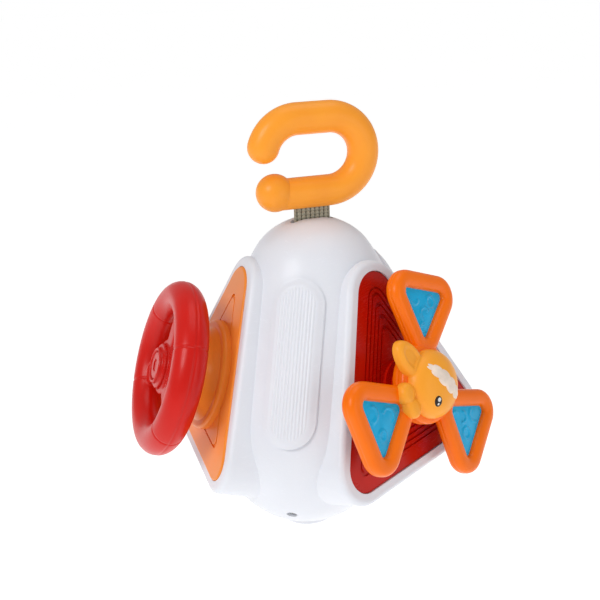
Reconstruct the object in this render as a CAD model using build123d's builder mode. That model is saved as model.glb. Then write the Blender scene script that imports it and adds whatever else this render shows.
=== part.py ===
"""Hanging activity toy: a rounded pyramid on a strap and a C-shaped clip.

Frame: millimetres, +Z up.  The origin is where the clip hangs, the middle of the underside of its
top bar.  The body's own heights are measured from its middle, BODY_DROP below the origin.  One
edge of the pyramid faces -Y: the steering wheel is on the face to its left, the windmill on the
face to its right, the music keys on the rear face and the gear lever under the base.
"""
import os
from math import asin, atan2, cos, degrees, hypot, pi, radians, sin, sqrt, tan

from build123d import *

os.makedirs("parts", exist_ok=True)

# ---------------------------------------------------------------- clip and strap
CLIP_YAW = 30.0            # the clip stands in the plane of the wheel's axle
CLIP_TUBE_R = 10.0
CLIP_BEND_R = 23.25        # of the centre line
CLIP_RIGHT_X = 12.0        # centres of the two end bends, from the strap
CLIP_LEFT_X = -8.3
CLIP_BALL_X = -24.3
CLIP_BALL_R = 12.0
CLIP_BALL_LIFT = 1.5
CLIP_HOOK_ARC = 72.0       # degrees of bend before the free end
CLIP_WALL = 2.4
STRAP_W = 24.0
STRAP_T = 3.6
STRAP_PLAY = 0.7           # slot beyond the strap, each side
STRAP_SHOW = 6.5           # webbing seen between the clip and the dome
STRAP_PIN_R = 2.5
STRAP_ANCHOR_DROP = 13.0   # anchor below the dome's top

# ---------------------------------------------------------------- body
FACE_TILT = 19.47          # each side face leans back from upright
FACE_DIST = 73.2           # side faces from the body's middle
DOME_Z = 83.0              # centre of the dome's sphere
CORNER_RAD = 42.7          # centres of the three bottom corners, from the axis
CORNER_Z = -5.5
BASE_ANGLE = 14.0          # the flat base starts this far round the corner's arc
SHELL_WALL = 3.0
SEAM_Z = -9.0              # the two shells part here
PANEL_RISE = 4.4           # panel centre, up the face
PANEL_TOP_Y = 56.8         # centres of the panel's corner arcs
PANEL_TOP_R = 18.0
PANEL_LOW_X = 51.7
PANEL_LOW_Y = -33.9
PANEL_LOW_R = 14.0
PANEL_FIT = 0.2            # gap round a panel
BEZEL_W = 7.5
BEZEL_OUT = 4.4            # bezel above the face
BEZEL_ROUND = 3.6
SEAT_OUT = 0.4             # panel seat above the face
SEAT_T = 3.0
SEAT_W = 5.0
BASE_PANEL_R = 12.0        # base panel: corner arcs and where their centres lie
BASE_PANEL_REACH = 42.0
BASE_BEZEL_OUT = 4.0
PAD_W = 33.0               # raised grip pad down each edge
PAD_TOP_Z = 101.0
PAD_LOW_Z = 13.0
PAD_PROUD = 1.2
PAD_ROOM = 25.0            # pads and ribs are cut from prisms this deep
PAD_RIB_W = 21.6
PAD_RIBS = 10
RIB_DEPTH = 0.5
SCREW_RECESS_R = 3.4
BEZEL_DEPTH = 30.0         # prisms of the bezels and their openings

# ---------------------------------------------------------------- steering wheel
WHEEL_DIST = 107.8         # rim plane from the body's middle
WHEEL_R = 45.8
RIM_R = 10.6
HUB_R = 18.0
HUB_FRONT = 9.6            # hub face in front of the rim plane
HUB_BACK = 5.0
SPOKE_W = 15.0
SPOKE_T = 8.0
AXLE_R = 4.0
RUN_FIT = 0.05             # shaft in its bore
PART_GAP = 0.5             # between faces that turn past each other
HORN_R = 9.0
HORN_PLAY = 0.3
SPRING_WIRE_R = 0.4
COLLAR_R = 36.0
COLLAR_DOME_R = 31.0
COLLAR_NECK_R = 19.0

# ---------------------------------------------------------------- windmill
MILL_DIST = 94.0           # middle plane of the blades
MILL_PHASE = 22.2          # first blade, clockwise from up
WINDOW_IN = 26.4           # window corner nearest the hub
WINDOW_OUT = 58.6          # window's outer side
WINDOW_HALF = 20.5
WINDOW_CORNER_R = 3.0
BLADE_RIM = 11.2           # frame round a window
BLADE_T = 11.0
INSERT_T = 2.6
INSERT_LAP = 2.0           # insert held in the frame's groove
MILL_HUB_R = 24.4
HEAD_H = 12.5

# ---------------------------------------------------------------- panels
PANEL_T = 3.0
WHEEL_PANEL_T = 5.0
RIDGE_PITCH = 3.4
RIDGES = 5
RIDGE_FIRST = 10.0         # first ridge, in from the panel's edge
RIDGE_W = 1.2
RIDGE_DEPTH = 0.9
RIDGE_CORNER_R = 4.0

# ---------------------------------------------------------------- music panel, power and inside
KEY_R = 11.0
KEY_PLAY = 0.3
KEY_PROUD = 4.0
KEY_LOW_X = 20.0
KEY_LOW_Y = 16.0
KEY_TOP_Y = 46.0
BOARD_DIST = 62.0
BOARD_T = 1.6
BOARD_W = 56.0
BOARD_H = 52.0
BOARD_Y = 28.0
BOARD_CORNER_R = 5.0
CELL_R = 7.25
CELL_L = 50.5
CELL_PITCH = 15.5
TRAY_WALL = 1.6
TRAY_Y = -20.6
DOOR_FIT = 0.2
DOOR_CORNER_R = 3.0
DOOR_ROUND = 0.5
SPEAKER_R = 12.0
SPEAKER_T = 7.0
SWITCH_W = 6.0
SWITCH_TRAVEL = 4.0

# ---------------------------------------------------------------- gear lever
LEVER_TIP = 98.0           # knob's tip below the body's middle
KNOB_R = 9.0
STEM_R = 4.5
LEVER_PIN_R = 2.0
LEVER_BOSS_R = 6.0
LEVER_BOSS_W = 10.0
BOOT_R = 19.0
BOOT_H = 5.0

SCREW_R = 1.5
SCREW_HEAD_R = 2.9
SCREW_HEAD_T = 2.0

# ---------------------------------------------------------------- lugs, ribs, posts and screws
LUG_T = 4.0
LUG_W = 10.0
LUG_GAP = 1.0
RIB_T = 5.0                # ribs inside the edges that take the corner screws
RIB_IN = 60.0
RIB_RUN = 17.0
RIB_LOW_Z = -26.0
RIB_TOP_Z = 14.0
SCREW_FALL = 35.3          # corner screws point in and up at this angle
SCREW_SINK = 3.5           # head's seat below the surface
SCREW_LAND = 7.0           # where the lower shell's boss meets the rib's
SCREW_LEN = 14.0
SCREW_BOSS_R = 5.0
SCREW_BOSS_L = 14.0
SCREW_PLAY = 0.2
CLIP_SCREW_SINK = 4.5
CLIP_SCREW_LEN = 9.5
BORE_REACH = 200.0         # bores run right through the body's depth

# ---------------------------------------------------------------- smaller features
GROOVE_IN = 16.0           # shallow triangle on the wheel's panel
SPIGOT_R = 14.0
COLLAR_FLANGE_T = 5.0
COLLAR_ROUND = 2.4
COLLAR_BULGE = 2.5
HUB_STEP_1 = 4.0
HUB_STEP_2 = 7.0
HUB_MID_R = 14.5
HUB_TOP_R = 11.5
HUB_FLOOR = 1.0            # left between the axle's socket and the horn's spring
HORN_LIP = 1.5
HORN_WELL = 5.0
HORN_CLEAR = 0.05
HORN_FLANGE_T = 1.2
HORN_TOP = 9.0
HORN_ROUND = 1.2
GRIP_HALF = 35.0
GRIP_GROOVE = 0.5
AXLE_SCREW_LEN = 8.0
RETAINER_R = 8.5
RETAINER_T = 2.0
BUSH_R = 12.0
BUSH_FLANGE_R = 17.0
BUSH_FLANGE_T = 2.0
BLADE_ROUND = 3.6
BLADE_ROOT = 4.0           # blades run this far into the hub
INSERT_FIT = 0.05
MILL_SOCKET = 2.0          # axle's socket goes this far past the blades' middle
HEAD_R = 20.5
EAR_X = -17.0
EAR_Y = 20.5
EAR_TURN = 118.0
EAR_L = 32.0
EAR_W = 19.0
EAR_T = 5.0
TUFT_X = -24.5
TUFT_Y = 2.5
TUFT_R = 6.2
FLEECE_X = 0.5
FLEECE_Y = 0.5
FLEECE_TURN = -56.0
FLEECE_L = 33.0
FLEECE_W = 8.5
FLEECE_CURL_R = 2.6
FLEECE_T = 1.0
EYE_X = -13.0
EYE_Y = -8.5
EYE_TURN = 10.0
EYE_W = 5.0
EYE_H = 6.4
EYE_T = 0.6
KEY_GAP = 0.1
KEY_LIP = 1.6
KEY_FLANGE_T = 1.4
KEY_STEM_R = 3.0
KEY_ROUND = 1.8
DOME_SKIRT = 2.0           # silicone dome beyond the key's stem
DOME_TAPER = 12.0
KEY_STEM_END = 68.4
LED_R = 2.4
LED_Y = 20.0
SWITCH_Y = 6.0
SWITCH_H = 5.0
SWITCH_LAP = 2.5           # hidden flange beyond the slot
SWITCH_FLANGE_T = 1.2
SWITCH_PROUD = 1.5
POST_AT = ((-22, 38), (22, 38), (0, 29))
POST_R = 2.6
BOARD_SCREW_LEN = 7.0
DOOR_SCREW_IN = 5.0        # door's screw from its upper edge
CHIP_AT = ((-14, 20), (14, 18), (4, 44))
CHIP_W = 9.0
CHIP_T = 2.0
CONTACT_ROOM = 2.0
TRAY_ROOM = 6.5            # beside the cells, for the door's screw post
TRAY_DEPTH = 17.6
CELL_DIST = 65.6
CELL_NIB = 1.2
DOOR_SCREW_LEN = 7.0
SPEAKER_Y = 29.0
GRILLE_R = 1.4
GRILLE_RING_R = 4.6
PIVOT_DIST = 52.0
KNOB_DIST = LEVER_TIP - KNOB_R
STEM_NECK_R = 3.4
SLOT_L = 22.0
SLOT_W = 11.0
LEVER_LUG_X = 8.0
LUG_BEYOND = 2.0           # lugs go this far past the lever's pin

# ---------------------------------------------------------------- worked out from the above
CLIP_LOW_Y = CLIP_TUBE_R - 2 * CLIP_BEND_R
DOME_R = FACE_DIST - DOME_Z * sin(radians(FACE_TILT))
CORNER_R = FACE_DIST - CORNER_RAD / 2 * cos(radians(FACE_TILT)) - CORNER_Z * sin(radians(FACE_TILT))
DOME_TOP = DOME_Z + DOME_R
BODY_DROP = CLIP_TUBE_R - CLIP_LOW_Y + STRAP_SHOW + DOME_TOP
BASE_DIST = CORNER_R * cos(radians(BASE_ANGLE)) - CORNER_Z
SEAT = FACE_DIST + SEAT_OUT
BASE_SEAT = BASE_DIST + SEAT_OUT
BASE_TOP = BASE_DIST + BASE_BEZEL_OUT
WHEEL_AZ, MILL_AZ, MUSIC_AZ = -60.0, 60.0, 180.0
AXLE_IN = SEAT - SEAT_T - PART_GAP
PIN_RIB_X = STRAP_W / 2 + STRAP_PLAY + LUG_T / 2
CLIP = Plane(
    origin=(0, 0, 0),
    x_dir=(cos(radians(CLIP_YAW)), sin(radians(CLIP_YAW)), 0),
    z_dir=(sin(radians(CLIP_YAW)), -cos(radians(CLIP_YAW)), 0),
)


def level(height):
    """Horizontal plane at a height above the body's middle."""
    return Plane.XY.offset(height - BODY_DROP)


def face_plane(azimuth, height):
    """Plane parallel to a side face, centred on its panel: x to the right, y up the face."""
    turn, lean = radians(azimuth), radians(FACE_TILT)
    out = Vector(sin(turn) * cos(lean), -cos(turn) * cos(lean), sin(lean))
    up = Vector(-sin(turn) * sin(lean), cos(turn) * sin(lean), cos(lean))
    middle = Vector(0, 0, -BODY_DROP)
    return Plane(
        origin=middle + out * height + up * PANEL_RISE,
        x_dir=(cos(turn), sin(turn), 0),
        z_dir=out,
    )


def base_plane(height):
    """Plane parallel to the base, looking down: x to the right, y towards the front corner."""
    return Plane(origin=(0, 0, -BODY_DROP - height), x_dir=(1, 0, 0), z_dir=(0, 0, -1))


def save(piece, name):
    piece.part.label = name
    export_step(piece.part, f"parts/{name}.step")


def along(plane):
    """Axis through a plane's origin, along its normal."""
    return Axis(plane.origin, plane.z_dir)


def panel_outline(grow):
    """Rounded triangle of a side panel, grown on every side.

    Shrunk past its corner arcs it keeps corners of RIDGE_CORNER_R, their centres moved in along
    the corners' bisectors.
    """
    rise = PANEL_TOP_Y - PANEL_LOW_Y
    lean = atan2(PANEL_LOW_X, rise) - asin((PANEL_TOP_R - PANEL_LOW_R) / hypot(PANEL_LOW_X, rise))
    half = (pi / 2 - lean) / 2
    top_r = max(PANEL_TOP_R + grow, RIDGE_CORNER_R)
    low_r = max(PANEL_LOW_R + grow, RIDGE_CORNER_R)
    top_y = PANEL_TOP_Y - (top_r - PANEL_TOP_R - grow) / sin(lean)
    low_in = (low_r - PANEL_LOW_R - grow) / sin(half)
    low_x, low_y = PANEL_LOW_X - low_in * cos(half), PANEL_LOW_Y + low_in * sin(half)
    with Locations((0, top_y)):
        Circle(top_r)
    with Locations((-low_x, low_y), (low_x, low_y)):
        Circle(low_r)
    make_hull()


def base_outline(grow):
    """Rounded triangle of the base panel, grown on every side."""
    with PolarLocations(BASE_PANEL_REACH, 3, start_angle=90):
        Circle(BASE_PANEL_R + grow)
    make_hull()


def window_outline(grow):
    """Rounded triangle of a blade's window, apex towards the hub, grown on every side."""
    side = atan2(WINDOW_HALF, WINDOW_OUT - WINDOW_IN)
    outer = pi / 4 - side / 2
    with Locations((0, WINDOW_IN + WINDOW_CORNER_R / sin(side))):
        Circle(WINDOW_CORNER_R + grow)
    step = WINDOW_CORNER_R / tan(outer)
    with Locations(
        (WINDOW_HALF - step, WINDOW_OUT - WINDOW_CORNER_R), (step - WINDOW_HALF, WINDOW_OUT - WINDOW_CORNER_R)
    ):
        Circle(WINDOW_CORNER_R + grow)
    make_hull()


# ---------------------------------------------------------------- body's rounded hull
def flank(foot):
    """Outward direction (across, up) of the straight flank between the dome and the bottom sphere."""
    run, rise = foot, CORNER_Z - DOME_Z
    length = hypot(run, rise)
    taper = (DOME_R - CORNER_R) / length
    across = sqrt(1 - taper**2)
    return (run * taper - rise * across) / length, (rise * taper + run * across) / length


def reach(z, foot, inset):
    """How far the hull stands from the axis at height z.

    foot is the bottom sphere's distance from the axis: CORNER_RAD towards an edge of the pyramid
    and half of it towards a face.
    """
    dome, corner = DOME_R - inset, CORNER_R - inset
    out_x, out_z = flank(foot)
    top_z, low_z = DOME_Z + dome * out_z, CORNER_Z + corner * out_z
    if z >= top_z:
        return sqrt(dome**2 - (z - DOME_Z) ** 2)
    if z <= low_z:
        return foot + sqrt(corner**2 - (z - CORNER_Z) ** 2)
    top_x, low_x = dome * out_x, foot + corner * out_x
    return top_x + (low_x - top_x) * (top_z - z) / (top_z - low_z)


def hull_section(z, inset):
    """Rounded triangle of the hull at one height."""
    edge, face = reach(z, CORNER_RAD, inset), reach(z, CORNER_RAD / 2, inset)
    spread, corner = max(2 * (edge - face), 0.4), 2 * face - edge
    with PolarLocations(spread, 3, start_angle=-90):
        Circle(corner)
    make_hull()


def hull_heights(inset):
    """Heights of the hull's sections, closest where it curves most."""
    dome, corner = DOME_R - inset, CORNER_R - inset
    low = [CORNER_Z - corner * cos(radians(a)) for a in (BASE_ANGLE, 28, 42, 58, 75, 92, 108)]
    high = [DOME_Z + dome * sin(radians(a)) for a in (5, 25, 42, 58, 72, 83)]
    step = (high[0] - low[-1]) / 4
    return low + [low[-1] + step * i for i in (1, 2, 3)] + high


def hull(inset):
    """Solid of the rounded pyramid, drawn in by inset or, if negative, swelled."""
    with BuildPart() as solid:
        for z in hull_heights(inset):
            with BuildSketch(level(z)):
                hull_section(z, inset)
        loft()
    return solid.part


def edge_plane(azimuth, z):
    """Plane touching an upright edge of the pyramid at height z: x across the edge, y up it."""
    turn = radians(azimuth)
    out_x, out_z = flank(CORNER_RAD)
    far = reach(z, CORNER_RAD, 0)
    return Plane(
        origin=(sin(turn) * far, -cos(turn) * far, z - BODY_DROP),
        x_dir=(cos(turn), sin(turn), 0),
        z_dir=(sin(turn) * out_x, -cos(turn) * out_x, out_z),
    )


def block(plane, outline, depth, soften=0.0):
    """Prism that goes depth inward from a plane, its outer rim rounded."""
    with BuildPart() as solid:
        with BuildSketch(plane):
            outline()
        extrude(amount=-depth)
        if soften:
            fillet(solid.edges().group_by(along(plane))[-1], soften)
    return solid.part


# ---------------------------------------------------------------- shells
SIDE_AZ = (WHEEL_AZ, MILL_AZ, MUSIC_AZ)
EDGE_AZ = (0.0, 120.0, 240.0)
PAD_MID_Z = (PAD_TOP_Z + PAD_LOW_Z) / 2
PAD_L = (PAD_TOP_Z - PAD_LOW_Z) / flank(CORNER_RAD)[0]

outer_hull = hull(0)
inner_hull = hull(SHELL_WALL)
weld_hull = hull(SHELL_WALL - 0.6)
pad_hull = hull(-PAD_PROUD)
rib_hull = hull(RIB_DEPTH - PAD_PROUD)

with BuildPart() as pads:
    for azimuth in EDGE_AZ:
        with BuildSketch(edge_plane(azimuth, PAD_MID_Z).offset(PAD_ROOM)):
            SlotOverall(PAD_L, PAD_W, rotation=90)
        extrude(amount=-2 * PAD_ROOM)
    add(pad_hull, mode=Mode.INTERSECT)

with BuildPart() as pad_grooves:
    pitch = PAD_RIB_W / PAD_RIBS
    for azimuth in EDGE_AZ:
        with BuildSketch(edge_plane(azimuth, PAD_MID_Z).offset(PAD_ROOM)):
            with GridLocations(pitch, 0, PAD_RIBS + 1, 1):
                SlotOverall(PAD_L - PAD_W + PAD_RIB_W / 2, pitch / 3, rotation=90)
        extrude(amount=-2 * PAD_ROOM)
    add(rib_hull, mode=Mode.SUBTRACT)

with BuildPart() as body:
    add(outer_hull)
    for azimuth in SIDE_AZ:
        top = face_plane(azimuth, FACE_DIST + BEZEL_OUT)
        add(block(top, lambda: panel_outline(BEZEL_W), BEZEL_DEPTH, BEZEL_ROUND))
    add(block(base_plane(BASE_TOP), lambda: base_outline(BEZEL_W), BEZEL_DEPTH, BEZEL_ROUND))
    add(pads.part)
    add(pad_grooves.part, mode=Mode.SUBTRACT)
    add(inner_hull, mode=Mode.SUBTRACT)
    for azimuth in SIDE_AZ:
        behind = face_plane(azimuth, SEAT - SEAT_T)
        above = face_plane(azimuth, SEAT + BEZEL_DEPTH)
        add(block(behind, lambda: panel_outline(BEZEL_W / 2), BEZEL_DEPTH), mode=Mode.SUBTRACT)
        add(block(above, lambda: panel_outline(-SEAT_W), 2 * BEZEL_DEPTH), mode=Mode.SUBTRACT)
        add(block(above, lambda: panel_outline(PANEL_FIT), BEZEL_DEPTH), mode=Mode.SUBTRACT)
    behind = base_plane(BASE_SEAT - SEAT_T)
    above = base_plane(BASE_SEAT + BEZEL_DEPTH)
    add(block(behind, lambda: base_outline(BEZEL_W / 2), BEZEL_DEPTH), mode=Mode.SUBTRACT)
    add(block(above, lambda: base_outline(-SEAT_W), 2 * BEZEL_DEPTH), mode=Mode.SUBTRACT)
    add(block(above, lambda: base_outline(PANEL_FIT), BEZEL_DEPTH), mode=Mode.SUBTRACT)

    # slot for the strap in the dome
    with BuildSketch(level(DOME_TOP + STRAP_PLAY)):
        SlotOverall(STRAP_W + 2 * STRAP_PLAY + STRAP_T, STRAP_T + 2 * STRAP_PLAY, rotation=CLIP_YAW)
    extrude(amount=-STRAP_ANCHOR_DROP, mode=Mode.SUBTRACT)

# lugs that hold the strap's anchor bar, and ribs that take the corner screws
ANCHOR_Y = DOME_TOP - STRAP_ANCHOR_DROP - BODY_DROP
ACROSS = Plane(origin=(0, 0, 0), x_dir=-CLIP.z_dir, z_dir=CLIP.x_dir)
LUG_X = STRAP_W / 2 + STRAP_PLAY + LUG_GAP

with BuildPart() as lugs:
    for side in (LUG_X, -LUG_X - LUG_T):
        with BuildSketch(ACROSS.offset(side)):
            with Locations((0, ANCHOR_Y)):
                Rectangle(LUG_W, LUG_W, align=(Align.CENTER, Align.MIN))
                Circle(LUG_W / 2)
        extrude(amount=LUG_T)
    add(weld_hull, mode=Mode.INTERSECT)
    with BuildSketch(ACROSS.offset(-LUG_X - LUG_T)):
        with Locations((0, ANCHOR_Y)):
            Circle(STRAP_PIN_R)
    extrude(amount=2 * (LUG_X + LUG_T), mode=Mode.SUBTRACT)


def corner_screw_plane(azimuth, depth):
    """Plane across a corner screw, depth below the corner's surface, facing out."""
    turn, fall = radians(azimuth), radians(SCREW_FALL)
    out = Vector(sin(turn) * cos(fall), -cos(turn) * cos(fall), -sin(fall))
    middle = Vector(sin(turn) * CORNER_RAD, -cos(turn) * CORNER_RAD, CORNER_Z - BODY_DROP)
    return Plane(origin=middle + out * (CORNER_R - depth), x_dir=(cos(turn), sin(turn), 0), z_dir=out)


with BuildPart() as ribs:
    for azimuth in EDGE_AZ:
        radial = Plane(
            origin=(0, 0, -BODY_DROP),
            x_dir=(sin(radians(azimuth)), -cos(radians(azimuth)), 0),
            z_dir=(-cos(radians(azimuth)), -sin(radians(azimuth)), 0),
        )
        with BuildSketch(radial):
            with Locations((RIB_IN, RIB_LOW_Z)):
                Rectangle(RIB_RUN, RIB_TOP_Z - RIB_LOW_Z, align=(Align.MIN, Align.MIN))
            with Locations((RIB_IN + RIB_RUN, SEAM_Z + PART_GAP)):
                Rectangle(RIB_RUN, RIB_TOP_Z - SEAM_Z - PART_GAP, align=(Align.MIN, Align.MIN))
        extrude(amount=RIB_T / 2, both=True)
        with Locations(corner_screw_plane(azimuth, SCREW_LAND)):
            Cylinder(SCREW_BOSS_R, SCREW_BOSS_L, align=(Align.CENTER, Align.CENTER, Align.MAX))
    add(weld_hull, mode=Mode.INTERSECT)
    for azimuth in EDGE_AZ:
        with Locations(corner_screw_plane(azimuth, SCREW_LAND)):
            Cylinder(
                SCREW_R,
                SCREW_LEN - SCREW_LAND + SCREW_SINK,
                align=(Align.CENTER, Align.CENTER, Align.MAX),
                mode=Mode.SUBTRACT,
            )

with BuildPart() as shell_upper:
    add(body.part)
    split(bisect_by=level(SEAM_Z), keep=Keep.TOP)
    add(lugs.part)
    add(ribs.part)
save(shell_upper, "shell_upper")

with BuildPart() as shell_lower:
    add(body.part)
    split(bisect_by=level(SEAM_Z), keep=Keep.BOTTOM)
    for azimuth in EDGE_AZ:
        with Locations(corner_screw_plane(azimuth, SHELL_WALL / 2)):
            Cylinder(
                SCREW_RECESS_R + SHELL_WALL / 2,
                SCREW_LAND - SHELL_WALL / 2 - PART_GAP,
                align=(Align.CENTER, Align.CENTER, Align.MAX),
            )
        with Locations(corner_screw_plane(azimuth, -PART_GAP)):
            Cylinder(
                SCREW_RECESS_R,
                SCREW_SINK + PART_GAP,
                align=(Align.CENTER, Align.CENTER, Align.MAX),
                mode=Mode.SUBTRACT,
            )
            Cylinder(
                SCREW_R + SCREW_PLAY,
                SCREW_LAND + PART_GAP,
                align=(Align.CENTER, Align.CENTER, Align.MAX),
                mode=Mode.SUBTRACT,
            )
save(shell_lower, "shell_lower")


def screw(plane, length):
    """Pan-head screw whose head stands on the plane and whose shank goes length below it."""
    with BuildPart() as solid:
        with Locations(plane):
            Cylinder(SCREW_HEAD_R, SCREW_HEAD_T, align=(Align.CENTER, Align.CENTER, Align.MIN))
            Cylinder(SCREW_R, length, align=(Align.CENTER, Align.CENTER, Align.MAX))
        fillet(solid.edges().group_by(along(plane))[-1], SCREW_HEAD_T / 3)
        with BuildSketch(plane.offset(SCREW_HEAD_T)):
            Rectangle(SCREW_HEAD_R, SCREW_HEAD_T / 4)
            Rectangle(SCREW_HEAD_T / 4, SCREW_HEAD_R)
        extrude(amount=-SCREW_HEAD_T / 2, mode=Mode.SUBTRACT)
    return solid.part


with BuildPart() as shell_screws:
    for azimuth in EDGE_AZ:
        add(screw(corner_screw_plane(azimuth, SCREW_SINK), SCREW_LEN))
save(shell_screws, "shell_screws")

# ---------------------------------------------------------------- clip, strap and their pins
def clip_path():
    """Centre line of the hook, from the ball round the bend to the free end."""
    low, high, mid = CLIP_LOW_Y, CLIP_TUBE_R, CLIP_LOW_Y + CLIP_BEND_R
    Line((CLIP_BALL_X, low), (CLIP_RIGHT_X, low))
    CenterArc((CLIP_RIGHT_X, mid), CLIP_BEND_R, -90, 180)
    Line((CLIP_RIGHT_X, high), (CLIP_LEFT_X, high))
    CenterArc((CLIP_LEFT_X, mid), CLIP_BEND_R, 90, CLIP_HOOK_ARC)


def clip_tube(radius):
    """Tube of the hook, in the XZ plane, with a round free end and a ball on the other."""
    tip = radians(90 + CLIP_HOOK_ARC)
    end = (CLIP_LEFT_X + CLIP_BEND_R * cos(tip), CLIP_LOW_Y + CLIP_BEND_R * (1 + sin(tip)))
    with BuildPart() as solid:
        with BuildLine(Plane.XZ) as path:
            clip_path()
        with BuildSketch(Plane.YZ.offset(CLIP_BALL_X)):
            with Locations((0, CLIP_LOW_Y)):
                Circle(radius)
        sweep(path=path.line)
        with Locations((end[0], 0, end[1])):
            Sphere(radius)
        with Locations((CLIP_BALL_X, 0, CLIP_LOW_Y + CLIP_BALL_LIFT)):
            Sphere(radius + CLIP_BALL_R - CLIP_TUBE_R)
    return solid.part


CLIP_SCREW_AT = (
    (CLIP_BALL_X, CLIP_LOW_Y + CLIP_BALL_LIFT),
    (CLIP_RIGHT_X + CLIP_BEND_R, CLIP_LOW_Y + CLIP_BEND_R),
    (CLIP_LEFT_X, CLIP_TUBE_R),
)

# screw posts, and the ribs that hold the strap's pin
with BuildPart() as clip_posts:
    with BuildSketch(Plane.XZ):
        with Locations(*CLIP_SCREW_AT):
            Circle(SCREW_HEAD_R + CLIP_WALL / 2)
        with Locations((PIN_RIB_X, CLIP_LOW_Y), (-PIN_RIB_X, CLIP_LOW_Y)):
            Rectangle(LUG_T, 2 * CLIP_BALL_R)
    extrude(amount=CLIP_BALL_R, both=True)
    add(clip_tube(CLIP_TUBE_R - CLIP_WALL / 2), mode=Mode.INTERSECT)

with BuildPart() as clip:
    add(clip_tube(CLIP_TUBE_R))
    add(clip_tube(CLIP_TUBE_R - CLIP_WALL), mode=Mode.SUBTRACT)
    add(clip_posts.part)
    with BuildSketch(Plane.YZ.offset(-PIN_RIB_X - LUG_T)):
        with Locations((0, CLIP_LOW_Y)):
            Circle(STRAP_PIN_R)
    extrude(amount=2 * (PIN_RIB_X + LUG_T), mode=Mode.SUBTRACT)
    # mouth for the strap
    with BuildSketch(Plane.XZ):
        with Locations((0, CLIP_LOW_Y)):
            Rectangle(STRAP_W + 2 * STRAP_PLAY, 2 * CLIP_TUBE_R, align=(Align.CENTER, Align.MAX))
    extrude(amount=STRAP_T / 2 + STRAP_PLAY, both=True, mode=Mode.SUBTRACT)
    # screws go in from the rear half
    with BuildSketch(Plane.XZ.offset(-CLIP_SCREW_SINK)):
        with Locations(*CLIP_SCREW_AT):
            Circle(SCREW_HEAD_R + SCREW_PLAY)
    extrude(amount=-CLIP_BALL_R, mode=Mode.SUBTRACT)
    with BuildSketch(Plane.XZ.offset(-CLIP_SCREW_SINK)):
        with Locations(*CLIP_SCREW_AT):
            Circle(SCREW_R)
    extrude(amount=CLIP_SCREW_LEN, mode=Mode.SUBTRACT)

for name, keep in (("clip_front", Keep.TOP), ("clip_rear", Keep.BOTTOM)):
    with BuildPart() as straight:
        add(clip.part)
        split(bisect_by=Plane.XZ, keep=keep)
    with BuildPart() as half:
        add(straight.part, rotation=(0, 0, CLIP_YAW))
    save(half, name)

with BuildPart() as clip_screws:
    for x, y in CLIP_SCREW_AT:
        spot = CLIP.from_local_coords(Vector(x, y, -CLIP_SCREW_SINK))
        add(screw(Plane(origin=spot, x_dir=CLIP.x_dir, z_dir=-CLIP.z_dir), CLIP_SCREW_LEN))
save(clip_screws, "clip_screws")


def cross_pin(height, half_length):
    """Steel pin along the strap's width."""
    with BuildPart() as solid:
        with BuildSketch(ACROSS.offset(-half_length)):
            with Locations((0, height)):
                Circle(STRAP_PIN_R)
        extrude(amount=2 * half_length)
    return solid


save(cross_pin(CLIP_LOW_Y, PIN_RIB_X + LUG_T / 2), "clip_pin")
save(cross_pin(ANCHOR_Y, LUG_X + LUG_T), "strap_anchor")

with BuildPart() as strap:
    with BuildSketch(ACROSS.offset(-STRAP_W / 2)):
        with Locations((0, CLIP_LOW_Y), (0, ANCHOR_Y)):
            Circle(STRAP_PIN_R + STRAP_T / 2)
        with Locations((0, (CLIP_LOW_Y + ANCHOR_Y) / 2)):
            Rectangle(STRAP_T, CLIP_LOW_Y - ANCHOR_Y)
        with Locations((0, CLIP_LOW_Y), (0, ANCHOR_Y)):
            Circle(STRAP_PIN_R, mode=Mode.SUBTRACT)
    extrude(amount=STRAP_W)
save(strap, "strap")


# ---------------------------------------------------------------- turning parts
def section_plane(plane):
    """Plane through the normal of another: x as there, y along its normal."""
    return Plane(origin=plane.origin, x_dir=plane.x_dir, z_dir=-plane.y_dir)


def turned(plane, points, bore=0.0):
    """Solid of revolution about a plane's normal from (radius, height) corners, with a bore."""
    with BuildPart() as solid:
        with BuildSketch(section_plane(plane)):
            Polygon(*points, align=None)
        revolve(axis=along(plane))
        if bore:
            with BuildSketch(plane.offset(-BORE_REACH)):
                Circle(bore)
            extrude(amount=2 * BORE_REACH, mode=Mode.SUBTRACT)
    return solid.part


def sleeve(radius, low, high, bore=0.0):
    """Corners of a plain disc or sleeve."""
    return [(bore, low), (radius, low), (radius, high), (bore, high)]



def cut_outline(plane, outline, depth):
    """Take a prism out of the part being built."""
    add(block(plane, outline, depth), mode=Mode.SUBTRACT)


def ring_groove(top_plane, outline, inset, width, depth):
    """Solid of a groove that follows a panel's outline."""
    with BuildPart() as solid:
        add(block(top_plane, lambda: outline(-inset), depth))
        add(block(top_plane.offset(depth), lambda: outline(-inset - width), 3 * depth), mode=Mode.SUBTRACT)
    return solid.part


# ---------------------------------------------------------------- steering wheel and its collar
WHEEL_AXIS = face_plane(WHEEL_AZ, 0)
RIM = face_plane(WHEEL_AZ, WHEEL_DIST)
WHEEL_PANEL_TOP = SEAT + WHEEL_PANEL_T
HUB_UNDER = WHEEL_DIST - HUB_BACK
COLLAR_TOP = HUB_UNDER - PART_GAP

with BuildPart() as wheel_panel:
    add(block(face_plane(WHEEL_AZ, WHEEL_PANEL_TOP), lambda: panel_outline(0), WHEEL_PANEL_T, 1.6))
    panel_top = face_plane(WHEEL_AZ, WHEEL_PANEL_TOP)
    groove = ring_groove(panel_top, panel_outline, GROOVE_IN, RIDGE_W, RIDGE_DEPTH)
    add(groove, mode=Mode.SUBTRACT)
    cut_outline(panel_top, lambda: Circle(SPIGOT_R + PANEL_FIT), WHEEL_PANEL_T)
save(wheel_panel, "wheel_panel")

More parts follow.
